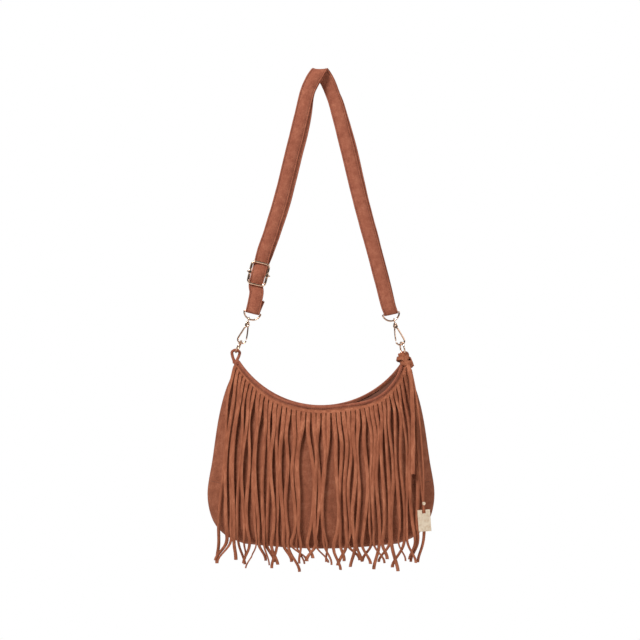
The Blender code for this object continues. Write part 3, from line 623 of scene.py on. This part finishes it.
@dataclass
class Panel:
    """One suede side of the body, with its dart, soft folds and puckered seams."""

    shape: BagShape
    name: str
    node: str
    facing: int
    columns: int = 150
    rows: int = 96
    wall: float = 1.4

    def folds(self, u: float, v: float, place: Vector) -> float:
        """How far the suede stands out or sinks at a point, in millimetres."""
        seed = 7.0 * self.facing
        edge = smoothstep(0.0, 0.12, 1 - abs(u)) * smoothstep(0.0, 0.1, 1 - v)
        drape = noise.noise(Vector((place.x / 34.0, seed, place.z / 110.0))) * 2.0
        small = noise.noise(Vector((place.x / 13.0, seed + 3, place.z / 26.0))) * 0.6
        pucker = math.sin(place.x / 3.4 + 2.0 * noise.noise(place / 40.0)) * 0.55
        pucker *= math.exp(-((1 - v) / 0.045) ** 2)
        inward = self.shape.side_point(v).x - abs(place.x)
        dart = math.exp(-(((place.z - self.shape.dart_z + 0.16 * inward) / 2.2) ** 2))
        dart *= 1 - smoothstep(self.shape.dart_length * 0.6, self.shape.dart_length, inward)
        swell = math.exp(-(((place.z - self.shape.dart_z) / 14.0) ** 2))
        swell *= math.exp(-((inward - 26) / 20) ** 2)
        return edge * (drape + small) + pucker - 2.4 * dart + 1.6 * swell * edge

    def build(self, material: bpy.types.Material) -> bpy.types.Object:
        """Makes the panel as one closed shell."""
        points, faces = [], []
        for row in range(self.rows + 1):
            v = math.sin(row / self.rows * math.pi / 2)
            for column in range(self.columns + 1):
                u = math.sin((2 * column / self.columns - 1) * math.pi / 2)
                place = self.shape.outline_point(u, v)
                depth = max(self.shape.belly(u, v) - 0.5, 0.0)
                out = depth + self.folds(u, v, place) * smoothstep(0.0, 8.0, depth)
                fade = (1 - v) ** 4
                points.append(Vector((place.x, self.facing * max(out, 0.15),
                                      place.z - self.shape.sag(u, self.facing) * fade)))
        width = self.columns + 1
        for row in range(self.rows):
            for column in range(self.columns):
                corner = row * width + column
                quad = (corner, corner + width, corner + width + 1, corner + 1)
                faces.append(quad if self.facing < 0 else tuple(reversed(quad)))
        panel = mesh_object(self.name, points, faces, closed=False)
        thicken(panel, self.wall, -1.0)
        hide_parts(self.node)
        return finish_object(panel, material, Body.BAG.value, 60.0)


@dataclass
class DartSeams:
    """The short sewn darts that shape the belly, one near each side of the front."""

    shape: BagShape
    start_inset: float = 2.0
    pitch: float = 2.3

    def build(self, surface: bpy.types.Object, material: bpy.types.Material) -> None:
        """Sews a dark line along each dart, on the panel."""
        tree = Surface(surface)
        for sign in (-1, 1):
            line = []
            for index in range(25):
                inward = self.start_inset + self.shape.dart_length * index / 24
                place = Vector((sign * (158.0 - inward), 0.0, self.shape.dart_z - 0.16 * inward))
                place.y = tree.front(place, 0.0, -0.2)
                line.append((place, Z_AXIS))
            name = "left_dart_stitching" if sign < 0 else "right_dart_stitching"
            seam = stitch_line(name, line, -Y_AXIS, self.pitch, 2.2)
            finish_object(seam, material, Body.BAG.value)


@dataclass
class Rim:
    """The folded binding along one side of the mouth, and its stitches."""

    shape: BagShape
    name: str
    node: str
    facing: int
    steps: int = 120
    thickness: float = 3.0

    def line(self, radius: float, forward: float = 0.0) -> list:
        """(place, down) along the mouth at a radius, brought forward of the binding's middle."""
        places = []
        for index in range(self.steps + 1):
            angle = self.shape.tip_angle * (2 * index / self.steps - 1)
            u = angle / self.shape.tip_angle
            place = self.shape.rim_point(angle, radius)
            gap = self.shape.mouth_half_gap * max(0.0, 1 - abs(u) ** 2.6) ** 0.5 - 0.6
            gap = max(gap, self.thickness / 2 + 0.1) + forward
            wave = 0.5 * noise.noise(Vector((place.x / 20.0, self.facing * 5.0, 0.0)))
            place = Vector((place.x, self.facing * (gap + wave), place.z - self.shape.sag(u, self.facing)))
            places.append((place, Vector((math.sin(angle), 0.0, -math.cos(angle)))))
        return places

    def section(self) -> list:
        """A rolled edge: round at the top, flat at its foot, with a sunk line where it is sewn."""
        half, deep = self.shape.binding_height / 2, self.thickness / 2
        top = [(-half + deep * (1 - math.cos(a)), deep * math.sin(a))
               for a in (math.radians(d) for d in range(0, 91, 15))]
        front = [*top, (half * 0.35, deep), (half * 0.62, deep * 0.72), (half * 0.85, deep * 0.95),
                 (half, deep * 0.8)]
        return front + [(a, -b) for a, b in reversed(front[1:])]

    def build(self, finishes: Finishes) -> None:
        """Makes the binding and the stitches in its foot."""
        line = self.line(self.shape.rim_radius + self.shape.binding_height / 2)
        points, faces = sweep([p for p, _ in line], [d for _, d in line], self.section())
        binding = mesh_object(self.name, points, faces)
        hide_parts(self.node)
        finish_object(binding, finishes.strap, Body.BAG.value, 50.0)
        foot = self.line(self.shape.rim_radius + self.shape.binding_height * 0.82,
                         self.thickness / 2 - 0.25)
        stitches = stitch_line(self.name + "_stitching", foot, Y_AXIS * self.facing, 2.9, 2.0)
        finish_object(stitches, finishes.thread, Body.BAG.value)


def stitch_line(name: str, line: list, up: Vector, pitch: float, length: float) -> bpy.types.Object:
    """A run of stitches along (place, across) pairs.

    Args:
        name: The object's name.
        line: Places and their across directions, in order.
        up: The direction that the stitches stand out in.
        pitch: The distance from stitch to stitch.
        length: The length of one stitch.

    Returns:
        The stitches as one object.
    """
    points, faces = [], []
    travelled, due = 0.0, pitch / 2
    for (before, across), (after, _) in zip(line, line[1:]):
        direction = after - before
        step = direction.length
        direction.normalize()
        while due < travelled + step:
            spot = before + direction * (due - travelled)
            add_stitch(points, faces, spot, direction, across, up, length, 0.3)
            due += pitch
        travelled += step
    return mesh_object(name, points, faces)


# ------------------------------------------------------------------ fringe and laces


class Surface:
    """What soft pieces lie on: rays from the front find how far forward a point must be."""

    def __init__(self, *objects: bpy.types.Object) -> None:
        """Keeps a tree of each object's mesh.

        Args:
            objects: Pieces at the origin, in metres.
        """
        self.trees = []
        for obj in objects:
            build = bmesh.new()
            build.from_mesh(obj.data)
            self.trees.append(BVHTree.FromBMesh(build))
            build.free()

    def front(self, place: Vector, gap: float, least: float) -> float:
        """The y that clears the surface by a gap, or least where nothing lies behind."""
        start = Vector((place.x, -300.0, place.z)) * MM
        low = least
        for tree in self.trees:
            hit = tree.ray_cast(start, Y_AXIS)[0]
            if hit:
                low = min(low, hit.y / MM - gap)
        return low


@dataclass(frozen=True)
class Strip:
    """How one fringe strip hangs: its curl, its sway and where its end turns.

    Attributes:
        sway: How far its middle bows to +X, in millimetres.
        hook: How far its end turns to +X, in millimetres.
        lift: How far its end rises from the common hem, in millimetres.
        twist: How far it turns about its length at its end, in degrees.
        crimp: The depth of its waves towards the front, in millimetres.
    """

    sway: float
    hook: float
    lift: float
    twist: float
    crimp: float


@dataclass
class Fringe:
    """The front's fringe: one sheet of suede, sewn under the rim and cut into strips."""

    shape: BagShape
    strips: int = 42
    width: float = 5.4
    cover: float = 0.80
    thickness: float = 1.1
    header_top: float = 0.8
    header_height: float = 3.6
    half_spread: float = 145.0
    hem: float = -686.0
    rows: int = 56
    clearance: float = 2.2
    header_front: float = -3.1
    ease: float = 0.8
    behind_tag: float = -33.0
    ends: tuple = ((-3, 0), (-8, 5), (-9, 3), (2, 6), (4, 0), (3, 8), (-6, 2), (-8, -4), (6, 6), (4, 0),
                   (6, 4), (5, 1), (-5, -4), (7, 5), (10, -9), (14, 6), (6, 2), (-4, 3), (5, 10), (-8, 6),
                   (9, 4), (6, 1), (-3, 5), (8, -6), (4, 6), (-5, 0), (12, 7), (-4, -2), (3, 5), (6, 2),
                   (-7, 6), (9, 3), (-3, -6), (5, 8), (-8, 4), (3, -9), (7, 5), (-9, -4), (6, 2), (-4, 7),
                   (-6, 3), (-3, 2))

    def strip_line(self, angle: float, share: float) -> Vector:
        """Where a strip lies from the front: out from the rim, then straight down."""
        t = share
        start = self.shape.rim_point(angle, self.shape.panel_rim + self.header_top + self.header_height)
        end = Vector((self.half_spread * angle / self.shape.tip_angle, 0.0, self.hem))
        away = Vector((math.sin(angle) * 46.0, 0.0, -150.0))
        fall = Vector((0.0, 0.0, -190.0))
        return (start * (2 * t**3 - 3 * t**2 + 1) + away * (t**3 - 2 * t**2 + t)
                + end * (3 * t**2 - 2 * t**3) + fall * (t**3 - t**2))

    def parting(self, place: Vector) -> float:
        """How far a strip stands aside, to +X, from the two bare patches of the belly."""
        low, high, ease = -640.0, -530.0, 42.0
        level = smoothstep(low - ease, low + ease, place.z)
        level *= 1 - smoothstep(high - ease, high + ease, place.z)
        push = 0.0
        for middle, reach in ((-21.0, 7.5), (13.0, 6.5)):
            away = place.x - middle
            push += reach * math.copysign(1.0, away) * math.exp(-((abs(away) / 9.0) ** 1.5))
        return push * level

    def near_tag(self, place: Vector) -> float:
        """1 where a strip hangs behind the tag's swing, falling to 0 round it."""
        low, high, ease, left, right = -648.0, -600.0, 14.0, 108.0, 120.0
        level = smoothstep(low - ease, low, place.z) * (1 - smoothstep(high, high + ease, place.z))
        return level * smoothstep(left, right, place.x)

    def habit(self, index: int, chance: random.Random) -> Strip:
        """The strip's own way of hanging."""
        hook, lift = self.ends[index % len(self.ends)]
        return Strip(sway=chance.uniform(-2.6, 2.6), hook=hook, lift=lift,
                     twist=chance.uniform(-75.0, 75.0), crimp=chance.uniform(0.4, 1.3))

    def strip(self, index: int, surface: Surface, chance: random.Random) -> list:
        """The strip's rows of five points, from its root at the header to its end."""
        pitch = 2 * self.shape.tip_angle / self.strips
        middle = -self.shape.tip_angle + pitch * (index + 0.5)
        habit = self.habit(index, chance)
        phase, waves = chance.uniform(0, math.tau), chance.uniform(2.2, 4.2)
        turn_phase = chance.uniform(0, math.tau)
        layer = (index % 2) * 1.5 + chance.uniform(0.0, 1.2)
        rows, low = [], self.header_front
        for row in range(self.rows + 1):
            share = row / self.rows
            free = smoothstep(0.02, 0.25, share)
            centre = self.strip_line(middle, share)
            drift = habit.sway * math.sin(share * math.pi)
            drift += 2.1 * math.sin(share * waves * math.pi + phase) * free
            end = smoothstep(0.76, 1.0, share)
            drift += habit.hook * (1.5 * end**1.6 - 0.55 * math.sin(math.pi * end))
            half = self.width / 2 * (1.0 - 0.2 * free)
            drift += self.parting(centre)
            centre.z -= self.shape.sag(middle / self.shape.tip_angle, -1) * (1 - smoothstep(0.0, 0.3, share))
            tangent = (self.strip_line(middle, min(share + 0.02, 1.0))
                       - self.strip_line(middle, max(share - 0.02, 0.0))).normalized()
            across = Vector((-tangent.z, 0.0, tangent.x))
            gap = self.strip_line(middle + pitch / 2, share) - self.strip_line(middle - pitch / 2, share)
            shown = min(1.0, self.cover * abs(gap.dot(across)) / self.width)
            turn = math.copysign(math.acos(shown), middle) * (1 - smoothstep(0.4, 0.8, share))
            turn += math.radians(habit.twist) * smoothstep(0.55, 1.0, share)
            turn += 0.4 * math.sin(share * 5.5 + turn_phase) * smoothstep(0.1, 0.5, share)
            centre = centre + across * drift + Vector((0.0, 0.0, habit.lift * smoothstep(0.8, 1.0, share)))
            spread = across * math.cos(turn) + Y_AXIS * math.sin(turn)
            reach = [centre + across * (half * side) + Vector((0.0, 0.0, dz))
                     for side in (-1.0, 0.0, 1.0) for dz in (-7.0, 0.0, 7.0)]
            rest = min(surface.front(spot, self.clearance, self.header_front) for spot in reach)
            low = min(rest, low + self.ease)
            forward = low - layer * free - abs(math.sin(turn)) * half
            forward -= habit.crimp * (1 + math.sin(share * 9.0 + phase)) * 0.5 * free
            forward += max(0.0, self.behind_tag - forward) * self.near_tag(centre)
            curl = smoothstep(0.0, 0.1, share) * (1.15 + 0.35 * math.sin(share * 7.0 + turn_phase))
            level = spread.cross(tangent)
            level *= -math.copysign(1.0, level.y)
            places = []
            for side in (-1.0, -0.5, 0.0, 0.5, 1.0):
                bow = level * (curl * (1 - side * side))
                places.append(Vector((centre.x, forward, centre.z)) + spread * (half * side) + bow)
            rows.append(places)
        return rows

    def build(self, body: bpy.types.Object, material: bpy.types.Material) -> bpy.types.Object:
        """Makes the sheet over the panel that it hangs in front of."""
        surface = Surface(body)
        chance = random.Random(11)
        pitch = 2 * self.shape.tip_angle / self.strips
        points, faces = [], []
        header = None
        radii = (self.shape.panel_rim + self.header_top,
                 self.shape.panel_rim + self.header_top + self.header_height * 0.55)
        for index in range(self.strips):
            rows = self.strip(index, surface, chance)
            middle = -self.shape.tip_angle + pitch * (index + 0.5)
            tops = []
            for radius in radii:
                line = []
                for side in (-1.0, -0.5, 0.0, 0.5, 1.0):
                    angle = middle + side * self.width / radius / 2
                    place = self.shape.rim_point(angle, radius)
                    u = angle / self.shape.tip_angle
                    place.z -= self.shape.sag(u, -1)
                    forward = surface.front(place, self.clearance, self.header_front)
                    line.append(Vector((place.x, forward, place.z)))
                tops.append(line)
            start = len(points)
            strip_rows = tops + rows
            for line in strip_rows:
                points += line
            for row in range(len(strip_rows) - 1):
                for column in range(4):
                    corner = start + row * 5 + column
                    faces.append((corner, corner + 5, corner + 6, corner + 1))
            if header is not None:
                for row in range(2):
                    left, right = header + row * 5 + 4, start + row * 5
                    faces.append((left, left + 5, right + 5, right))
            header = start
        fringe = mesh_object("fringe_sheet", points, faces, closed=False)
        thicken(fringe, self.thickness, 0.0)
        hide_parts("fringe")
        finish_object(fringe, material, Body.BAG.value, 60.0)
        return fringe


@dataclass
class Lace:
    """A flat suede lace, swept along a given route."""

    name: str
    width: float
    thickness: float

    def build(self, route: list, normals: list, material: bpy.types.Material) -> bpy.types.Object:
        """Makes the lace as one closed strip.

        Args:
            route: The places it passes, in order, in millimetres.
            normals: At each place, the direction that its flat face looks in.
            material: Its finish.

        Returns:
            The lace.
        """
        steps = 8
        places = spline_through(route, steps)
        faced = spline_through(normals, steps)
        acrosses = []
        for index, place in enumerate(places):
            after = places[min(index + 1, len(places) - 1)]
            before = places[max(index - 1, 0)]
            acrosses.append(faced[index].cross((after - before).normalized()).normalized())
        half, deep = self.width / 2, self.thickness / 2
        section = [(-half, 0.0), (-half + 0.3, -deep), (0.0, -deep * 1.15), (half - 0.3, -deep),
                   (half, 0.0), (half - 0.3, deep), (0.0, deep * 1.15), (-half + 0.3, deep)]
        points, faces = sweep(places, acrosses, section)
        lace = mesh_object(self.name, points, faces)
        return finish_object(lace, material, Body.BAG.value, 50.0)


@dataclass
class Laces:
    """The lace knotted round the right tab, its tail, and the thin lace that the tag hangs on."""

    width: float = 7.4
    thickness: float = 1.5
    tail_width: float = 5.6
    thin_radius: float = 1.2
    tag_top: Vector = field(default_factory=lambda: Vector((142.0, -37.0, -611.0)))

    def hang(self, surface: Surface, places: list, gap: float) -> list:
        """The places of a tail, each brought forward to clear what lies behind it."""
        tail = []
        for place in places:
            under = [place + Vector((x, 0.0, z)) for x in (-4, -2, 0, 2, 4) for z in (-12, -6, 0, 6, 12)]
            tail.append(Vector((place.x, min(surface.front(spot, gap, place.y) for spot in under), place.z)))
        return tail

    def turn(self, middle: Vector, axis: Vector, radius: float, tilt: float, name: str,
             material: bpy.types.Material) -> bpy.types.Object:
        """One wrap of the knot, a closed rolled band about an axis, leaning to one side."""
        count = 40
        axis = axis.normalized()
        first = axis.cross(Y_AXIS).normalized()
        places = []
        for index in range(count):
            angle = math.tau * index / count
            out = first * math.cos(angle) + Y_AXIS * (math.sin(angle) * 1.08)
            places.append(middle + out * radius + axis * (math.tan(tilt) * radius * math.cos(angle)))
        half, deep = self.width / 2, self.thickness
        points, faces = sweep(places, [axis] * count, oval(half, deep, 12), closed=True)
        return finish_object(mesh_object(name, points, faces), material, Body.BAG.value, 50.0)

    def knot(self, surface: Surface, material: bpy.types.Material) -> bpy.types.Object:
        """The knotted lace with its hanging tail, and the wraps that make the knot."""
        tail = self.hang(surface, vectors(
            (124.5, -9.0, -424.0), (126.5, -13.0, -450.0), (127.3, -16.0, -475.0),
            (127.5, -18.0, -500.0), (127.2, -20.0, -530.0), (127.0, -20.0, -560.0)), self.thickness / 2 + 2.2)
        route = [*reversed(tail), *vectors(
            (121.0, -8.6, -409.0), (115.0, -9.2, -401.0), (108.6, -6.2, -400.5), (106.4, 0.0, -401.5),
            (108.8, 6.4, -403.5), (115.5, 8.2, -404.0), (122.5, 5.6, -401.0), (126.4, -0.5, -403.0),
            (128.6, -4.0, -411.0))]
        normals = [Vector((0.0, -1.0, 0.0))] * len(tail) + vectors(
            (-0.1, -1.0, 0.3), (0.0, -1.0, 0.3), (-0.7, -0.7, 0.2), (-1.0, 0.0, 0.2), (-0.7, 0.7, 0.1),
            (0.0, 1.0, 0.1), (0.8, 0.6, 0.1), (1.0, -0.1, 0.2), (0.9, -0.4, 0.3))
        lace = Lace("knotted_lace", self.tail_width, self.thickness).build(route, normals, material)
        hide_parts("knot_lace")
        top, low = Vector((114.8, -0.5, -396.5)), Vector((121.8, -0.8, -413.0))
        for name, share, radius, tilt in (("upper", 0.0, 5.0, 14.0), ("second", 0.33, 6.4, -17.0),
                                          ("third", 0.66, 7.0, 20.0), ("lower", 1.0, 6.2, -10.0)):
            self.turn(top.lerp(low, share), low - top, radius, math.radians(tilt),
                                   "knot_wrap_" + name, material)
        length = run_length(spline_through(route, 8))
        LOG.info("knotted lace runs %.0f mm", length)
        return lace

    def tag_lace(self, surface: Surface, material: bpy.types.Material) -> bpy.types.Object:
        """The thin round lace from the knot down to the tag."""
        route = self.hang(surface, vectors(
            (125.6, -8.6, -416.0), (131.4, -12.0, -446.0), (136.8, -18.0, -485.0),
            (140.2, -25.0, -525.0), (142.2, -29.5, -565.0), (142.2, -31.0, -595.0)), self.thin_radius + 0.7)
        route.append(Vector((self.tag_top.x, self.tag_top.y, self.tag_top.z - 1.0)))
        places = spline_through(route, 8)
        curve = bpy.data.curves.new("thin_lace", "CURVE")
        curve.dimensions = "3D"
        curve.bevel_depth = self.thin_radius * MM
        curve.bevel_resolution = 4
        curve.use_fill_caps = True
        spline = curve.splines.new("POLY")
        spline.points.add(len(places) - 1)
        for point, place in zip(spline.points, places):
            point.co = (*(place * MM), 1.0)
        lace = bpy.data.objects.new("thin_lace", curve)
        bpy.context.scene.collection.objects.link(lace)
        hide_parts("tag_lace")
        finish_object(lace, material, Body.BAG.value)
        return lace


@dataclass
class Tab:
    """A looped suede tab that holds a ring at one tip of the bag."""

    name: str
    node: str
    sign: int
    ring: Vector
    ring_up: Vector
    width: float = 6.0
    thickness: float = 4.2
    ring_radius: float = 9.2
    ring_wire: float = 1.1

    def build(self, shape: BagShape, material: bpy.types.Material) -> None:
        """Makes the tab's loop."""
        low = self.ring - self.ring_up * self.ring_radius
        foot = shape.rim_point(shape.tip_angle * self.sign, shape.rim_radius + 7.5)
        up = (low - foot).normalized()
        out = Vector((up.z, 0.0, -up.x))
        height = (low - foot).length
        clear = self.ring_wire + 0.3 + self.thickness / 2
        outline = [foot + out * 1.2, foot + out * 2.2 + up * (height * 0.3),
                   foot + out * 4.2 + up * (height * 0.62), low + out * clear * 1.5 + up * 0.6,
                   low + up * clear, low - out * clear * 1.5 + up * 0.6,
                   foot - out * 4.2 + up * (height * 0.62), foot - out * 2.2 + up * (height * 0.3),
                   foot - out * 1.2]
        places = spline_through(outline, 10)
        half, deep = self.width / 2, self.thickness / 2
        points, faces = sweep(places, [Y_AXIS] * len(places), oval(half, deep, 14))
        tab = mesh_object(self.name, points, faces)
        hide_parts(self.node)
        finish_object(tab, material, Body.BAG.value, 50.0)
        root = shape.rim_point(shape.tip_angle * self.sign, shape.rim_radius + 5.0)
        Laces().turn(root, up, 2.6, 0.0, self.name + "_root", material)


# ------------------------------------------------------------------ hardware


@dataclass(frozen=True)
class Hardware:
    """The plated wire and castings: rounded from their CAD shape, which they keep the places of."""

    round_nodes: tuple = (("buckle_frame", Body.STRAP.value, 0.95), ("buckle_bar", Body.STRAP.value, 0.0))
    side_nodes: tuple = (("d_ring", "{side}_d_ring", 0.25), ("swivel_eye", Body.STRAP.value, 0.14),
                         ("hook", "{side}_hook", 0.27), ("gate", "{side}_gate", 0.30),
                         ("gate_pin", "{side}_hook", 0.0), ("ring", "{side}_ring", 0.24))

    def build(self, finishes: Finishes) -> None:
        """Gives each metal piece its round form and plating."""
        for name, body, growth in self.round_nodes:
            self.rounded(name, body, growth, finishes.rose_gold)
        for side in ("left", "right"):
            for piece, body, growth in self.side_nodes:
                self.rounded(f"{side}_{piece}", body.format(side=side), growth, finishes.rose_gold)
        for name, material in (("snap_socket", finishes.rose_gold), ("snap_stud", finishes.rose_gold),
                               ("tag_plate", finishes.pale_gold), ("tag_rivet", finishes.pale_gold),
                               ("lining_front", finishes.lining), ("lining_back", finishes.lining)):
            self.cover(name, material)

    @staticmethod
    def rounded(name: str, body: str, growth: float, material: bpy.types.Material) -> None:
        """Replaces a wire node by a rounder copy of itself.

        Args:
            name: The CAD node.
            body: The body that it rides on.
            growth: How much plating and rounding add all over, in millimetres.
            material: Its plating.
        """
        piece = bpy.data.objects.new(name + "_plated", bpy.data.objects[name].data.copy())
        bpy.context.scene.collection.objects.link(piece)
        select_only(piece)
        bpy.ops.object.mode_set(mode="EDIT")
        bpy.ops.mesh.select_all(action="SELECT")
        bpy.ops.mesh.remove_doubles(threshold=0.00001)
        bpy.ops.mesh.tris_convert_to_quads()
        bpy.ops.mesh.normals_make_consistent(inside=False)
        if growth:
            bpy.ops.transform.shrink_fatten(value=growth * MM)
        bpy.ops.object.mode_set(mode="OBJECT")
        if growth:
            smooth = piece.modifiers.new("roundness", "SUBSURF")
            smooth.levels = 1
            smooth.render_levels = 1
            apply_modifiers(piece)
        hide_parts(name)
        finish_object(piece, material, body, 50.0)

    @staticmethod
    def cover(name: str, material: bpy.types.Material) -> None:
        """Gives one CAD node its material."""
        node = bpy.data.objects[name]
        node.data.materials.clear()
        node.data.materials.append(material)


# ------------------------------------------------------------------ studio


@dataclass
class Studio:
    """A white studio: a pale floor, a bright surround and soft light from above and both sides."""

    camera_place: tuple = (-0.0014, -3.0, -0.347)
    lens: float = 120.5
    floor_z: float = -1.3
    surround: float = 0.8
    low_share: float = 0.1
    front_share: float = 0.22

    def build(self) -> None:
        """Makes the camera, the floor, the world and the lights."""
        scene = bpy.context.scene
        bpy.ops.object.camera_add(location=self.camera_place, rotation=(math.pi / 2, 0.0, 0.0))
        camera = bpy.context.active_object
        camera.data.lens = self.lens
        scene.camera = camera
        bpy.ops.mesh.primitive_plane_add(size=6.0, location=(0.0, 0.0, self.floor_z))
        floor = bpy.context.active_object
        floor.name = "studio_floor"
        white, shader = new_material("studio_white")
        set_up(shader, {"Base Color": linear("e6e4e2"), "Roughness": 1.0})
        floor.data.materials.append(white)
        scene.world = self.world()
        scene.view_settings.view_transform = "Standard"
        self.lamp("key_light", (-1.3, -1.9, 1.7), 0.9, 96.0)
        self.lamp("fill_light", (2.2, -1.6, 0.3), 1.4, 20.0)

    def world(self) -> bpy.types.World:
        """A backdrop that is white to the eye and lights softly, darker low down as in a studio."""
        world = bpy.data.worlds.new("studio_world")
        world.use_nodes = True
        nodes = world.node_tree.nodes
        place = add_node(world, "ShaderNodeTexCoord").outputs["Generated"]
        split = add_node(world, "ShaderNodeSeparateXYZ", links={0: place})
        height = add_node(world, "ShaderNodeMapRange",
                          {"From Min": -0.35, "From Max": 0.45, "To Min": self.surround * self.low_share,
                           "To Max": self.surround}, {"Value": split.outputs["Z"]})
        depth = add_node(world, "ShaderNodeMapRange",
                         {"From Min": -0.6, "From Max": 0.6, "To Min": self.front_share, "To Max": 1.0},
                         {"Value": split.outputs["Y"]})
        both = add_node(world, "ShaderNodeMath", {"operation": "MULTIPLY"},
                        {0: height.outputs["Result"], 1: depth.outputs["Result"]})
        light = set_up(nodes["Background"], {"Color": linear("ffffff")}, {"Strength": both.outputs[0]})
        seen = add_node(world, "ShaderNodeBackground", {"Color": linear("ffffff")})
        path = add_node(world, "ShaderNodeLightPath")
        choose = add_node(world, "ShaderNodeMixShader",
                          links={"Fac": path.outputs["Is Camera Ray"], 1: light.outputs["Background"],
                                 2: seen.outputs["Background"]})
        set_up(nodes["World Output"], links={"Surface": choose.outputs["Shader"]})
        return world

    @staticmethod
    def lamp(name: str, place: tuple, size: float, power: float) -> None:
        """Adds one soft area light that faces the bag's middle."""
        aim = Vector((0.0, 0.0, -0.4)) - Vector(place)
        facing = aim.to_track_quat("-Z", "Y").to_euler()
        bpy.ops.object.light_add(type="AREA", location=place, rotation=facing)
        light = bpy.context.active_object
        light.name = name
        light.data.size = size
        light.data.energy = power


# ------------------------------------------------------------------ assembly


def main() -> None:
    """Builds every visible piece round the frame."""
    logging.basicConfig(level=logging.INFO)
    finishes = Finishes()
    shape = BagShape()
    Strap().build(finishes)
    front = Panel(shape, "front_suede_panel", "front_panel", -1).build(finishes.body)
    Panel(shape, "back_suede_panel", "back_panel", 1).build(finishes.body)
    DartSeams(shape).build(front, finishes.thread)
    Rim(shape, "front_rim_binding", "front_binding", -1).build(finishes)
    Rim(shape, "back_rim_binding", "back_binding", 1).build(finishes)
    fringe = Fringe(shape).build(front, finishes.fringe)
    surface = Surface(front, fringe)
    laces = Laces()
    laces.knot(surface, finishes.fringe)
    laces.tag_lace(surface, finishes.fringe)
    for name, sign, ring, lean in (("left", -1, Vector((-115.38, 0.0, -384.26)), 25.0),
                                   ("right", 1, Vector((114.02, 0.0, -386.99)), 11.0)):
        up = Vector((math.sin(math.radians(lean)) * -sign, 0.0, math.cos(math.radians(lean))))
        Tab(name + "_suede_tab", name + "_tab", sign, ring, up).build(shape, finishes.strap)
    Hardware().build(finishes)
    Studio().build()


if __name__ == "__main__":
    main()
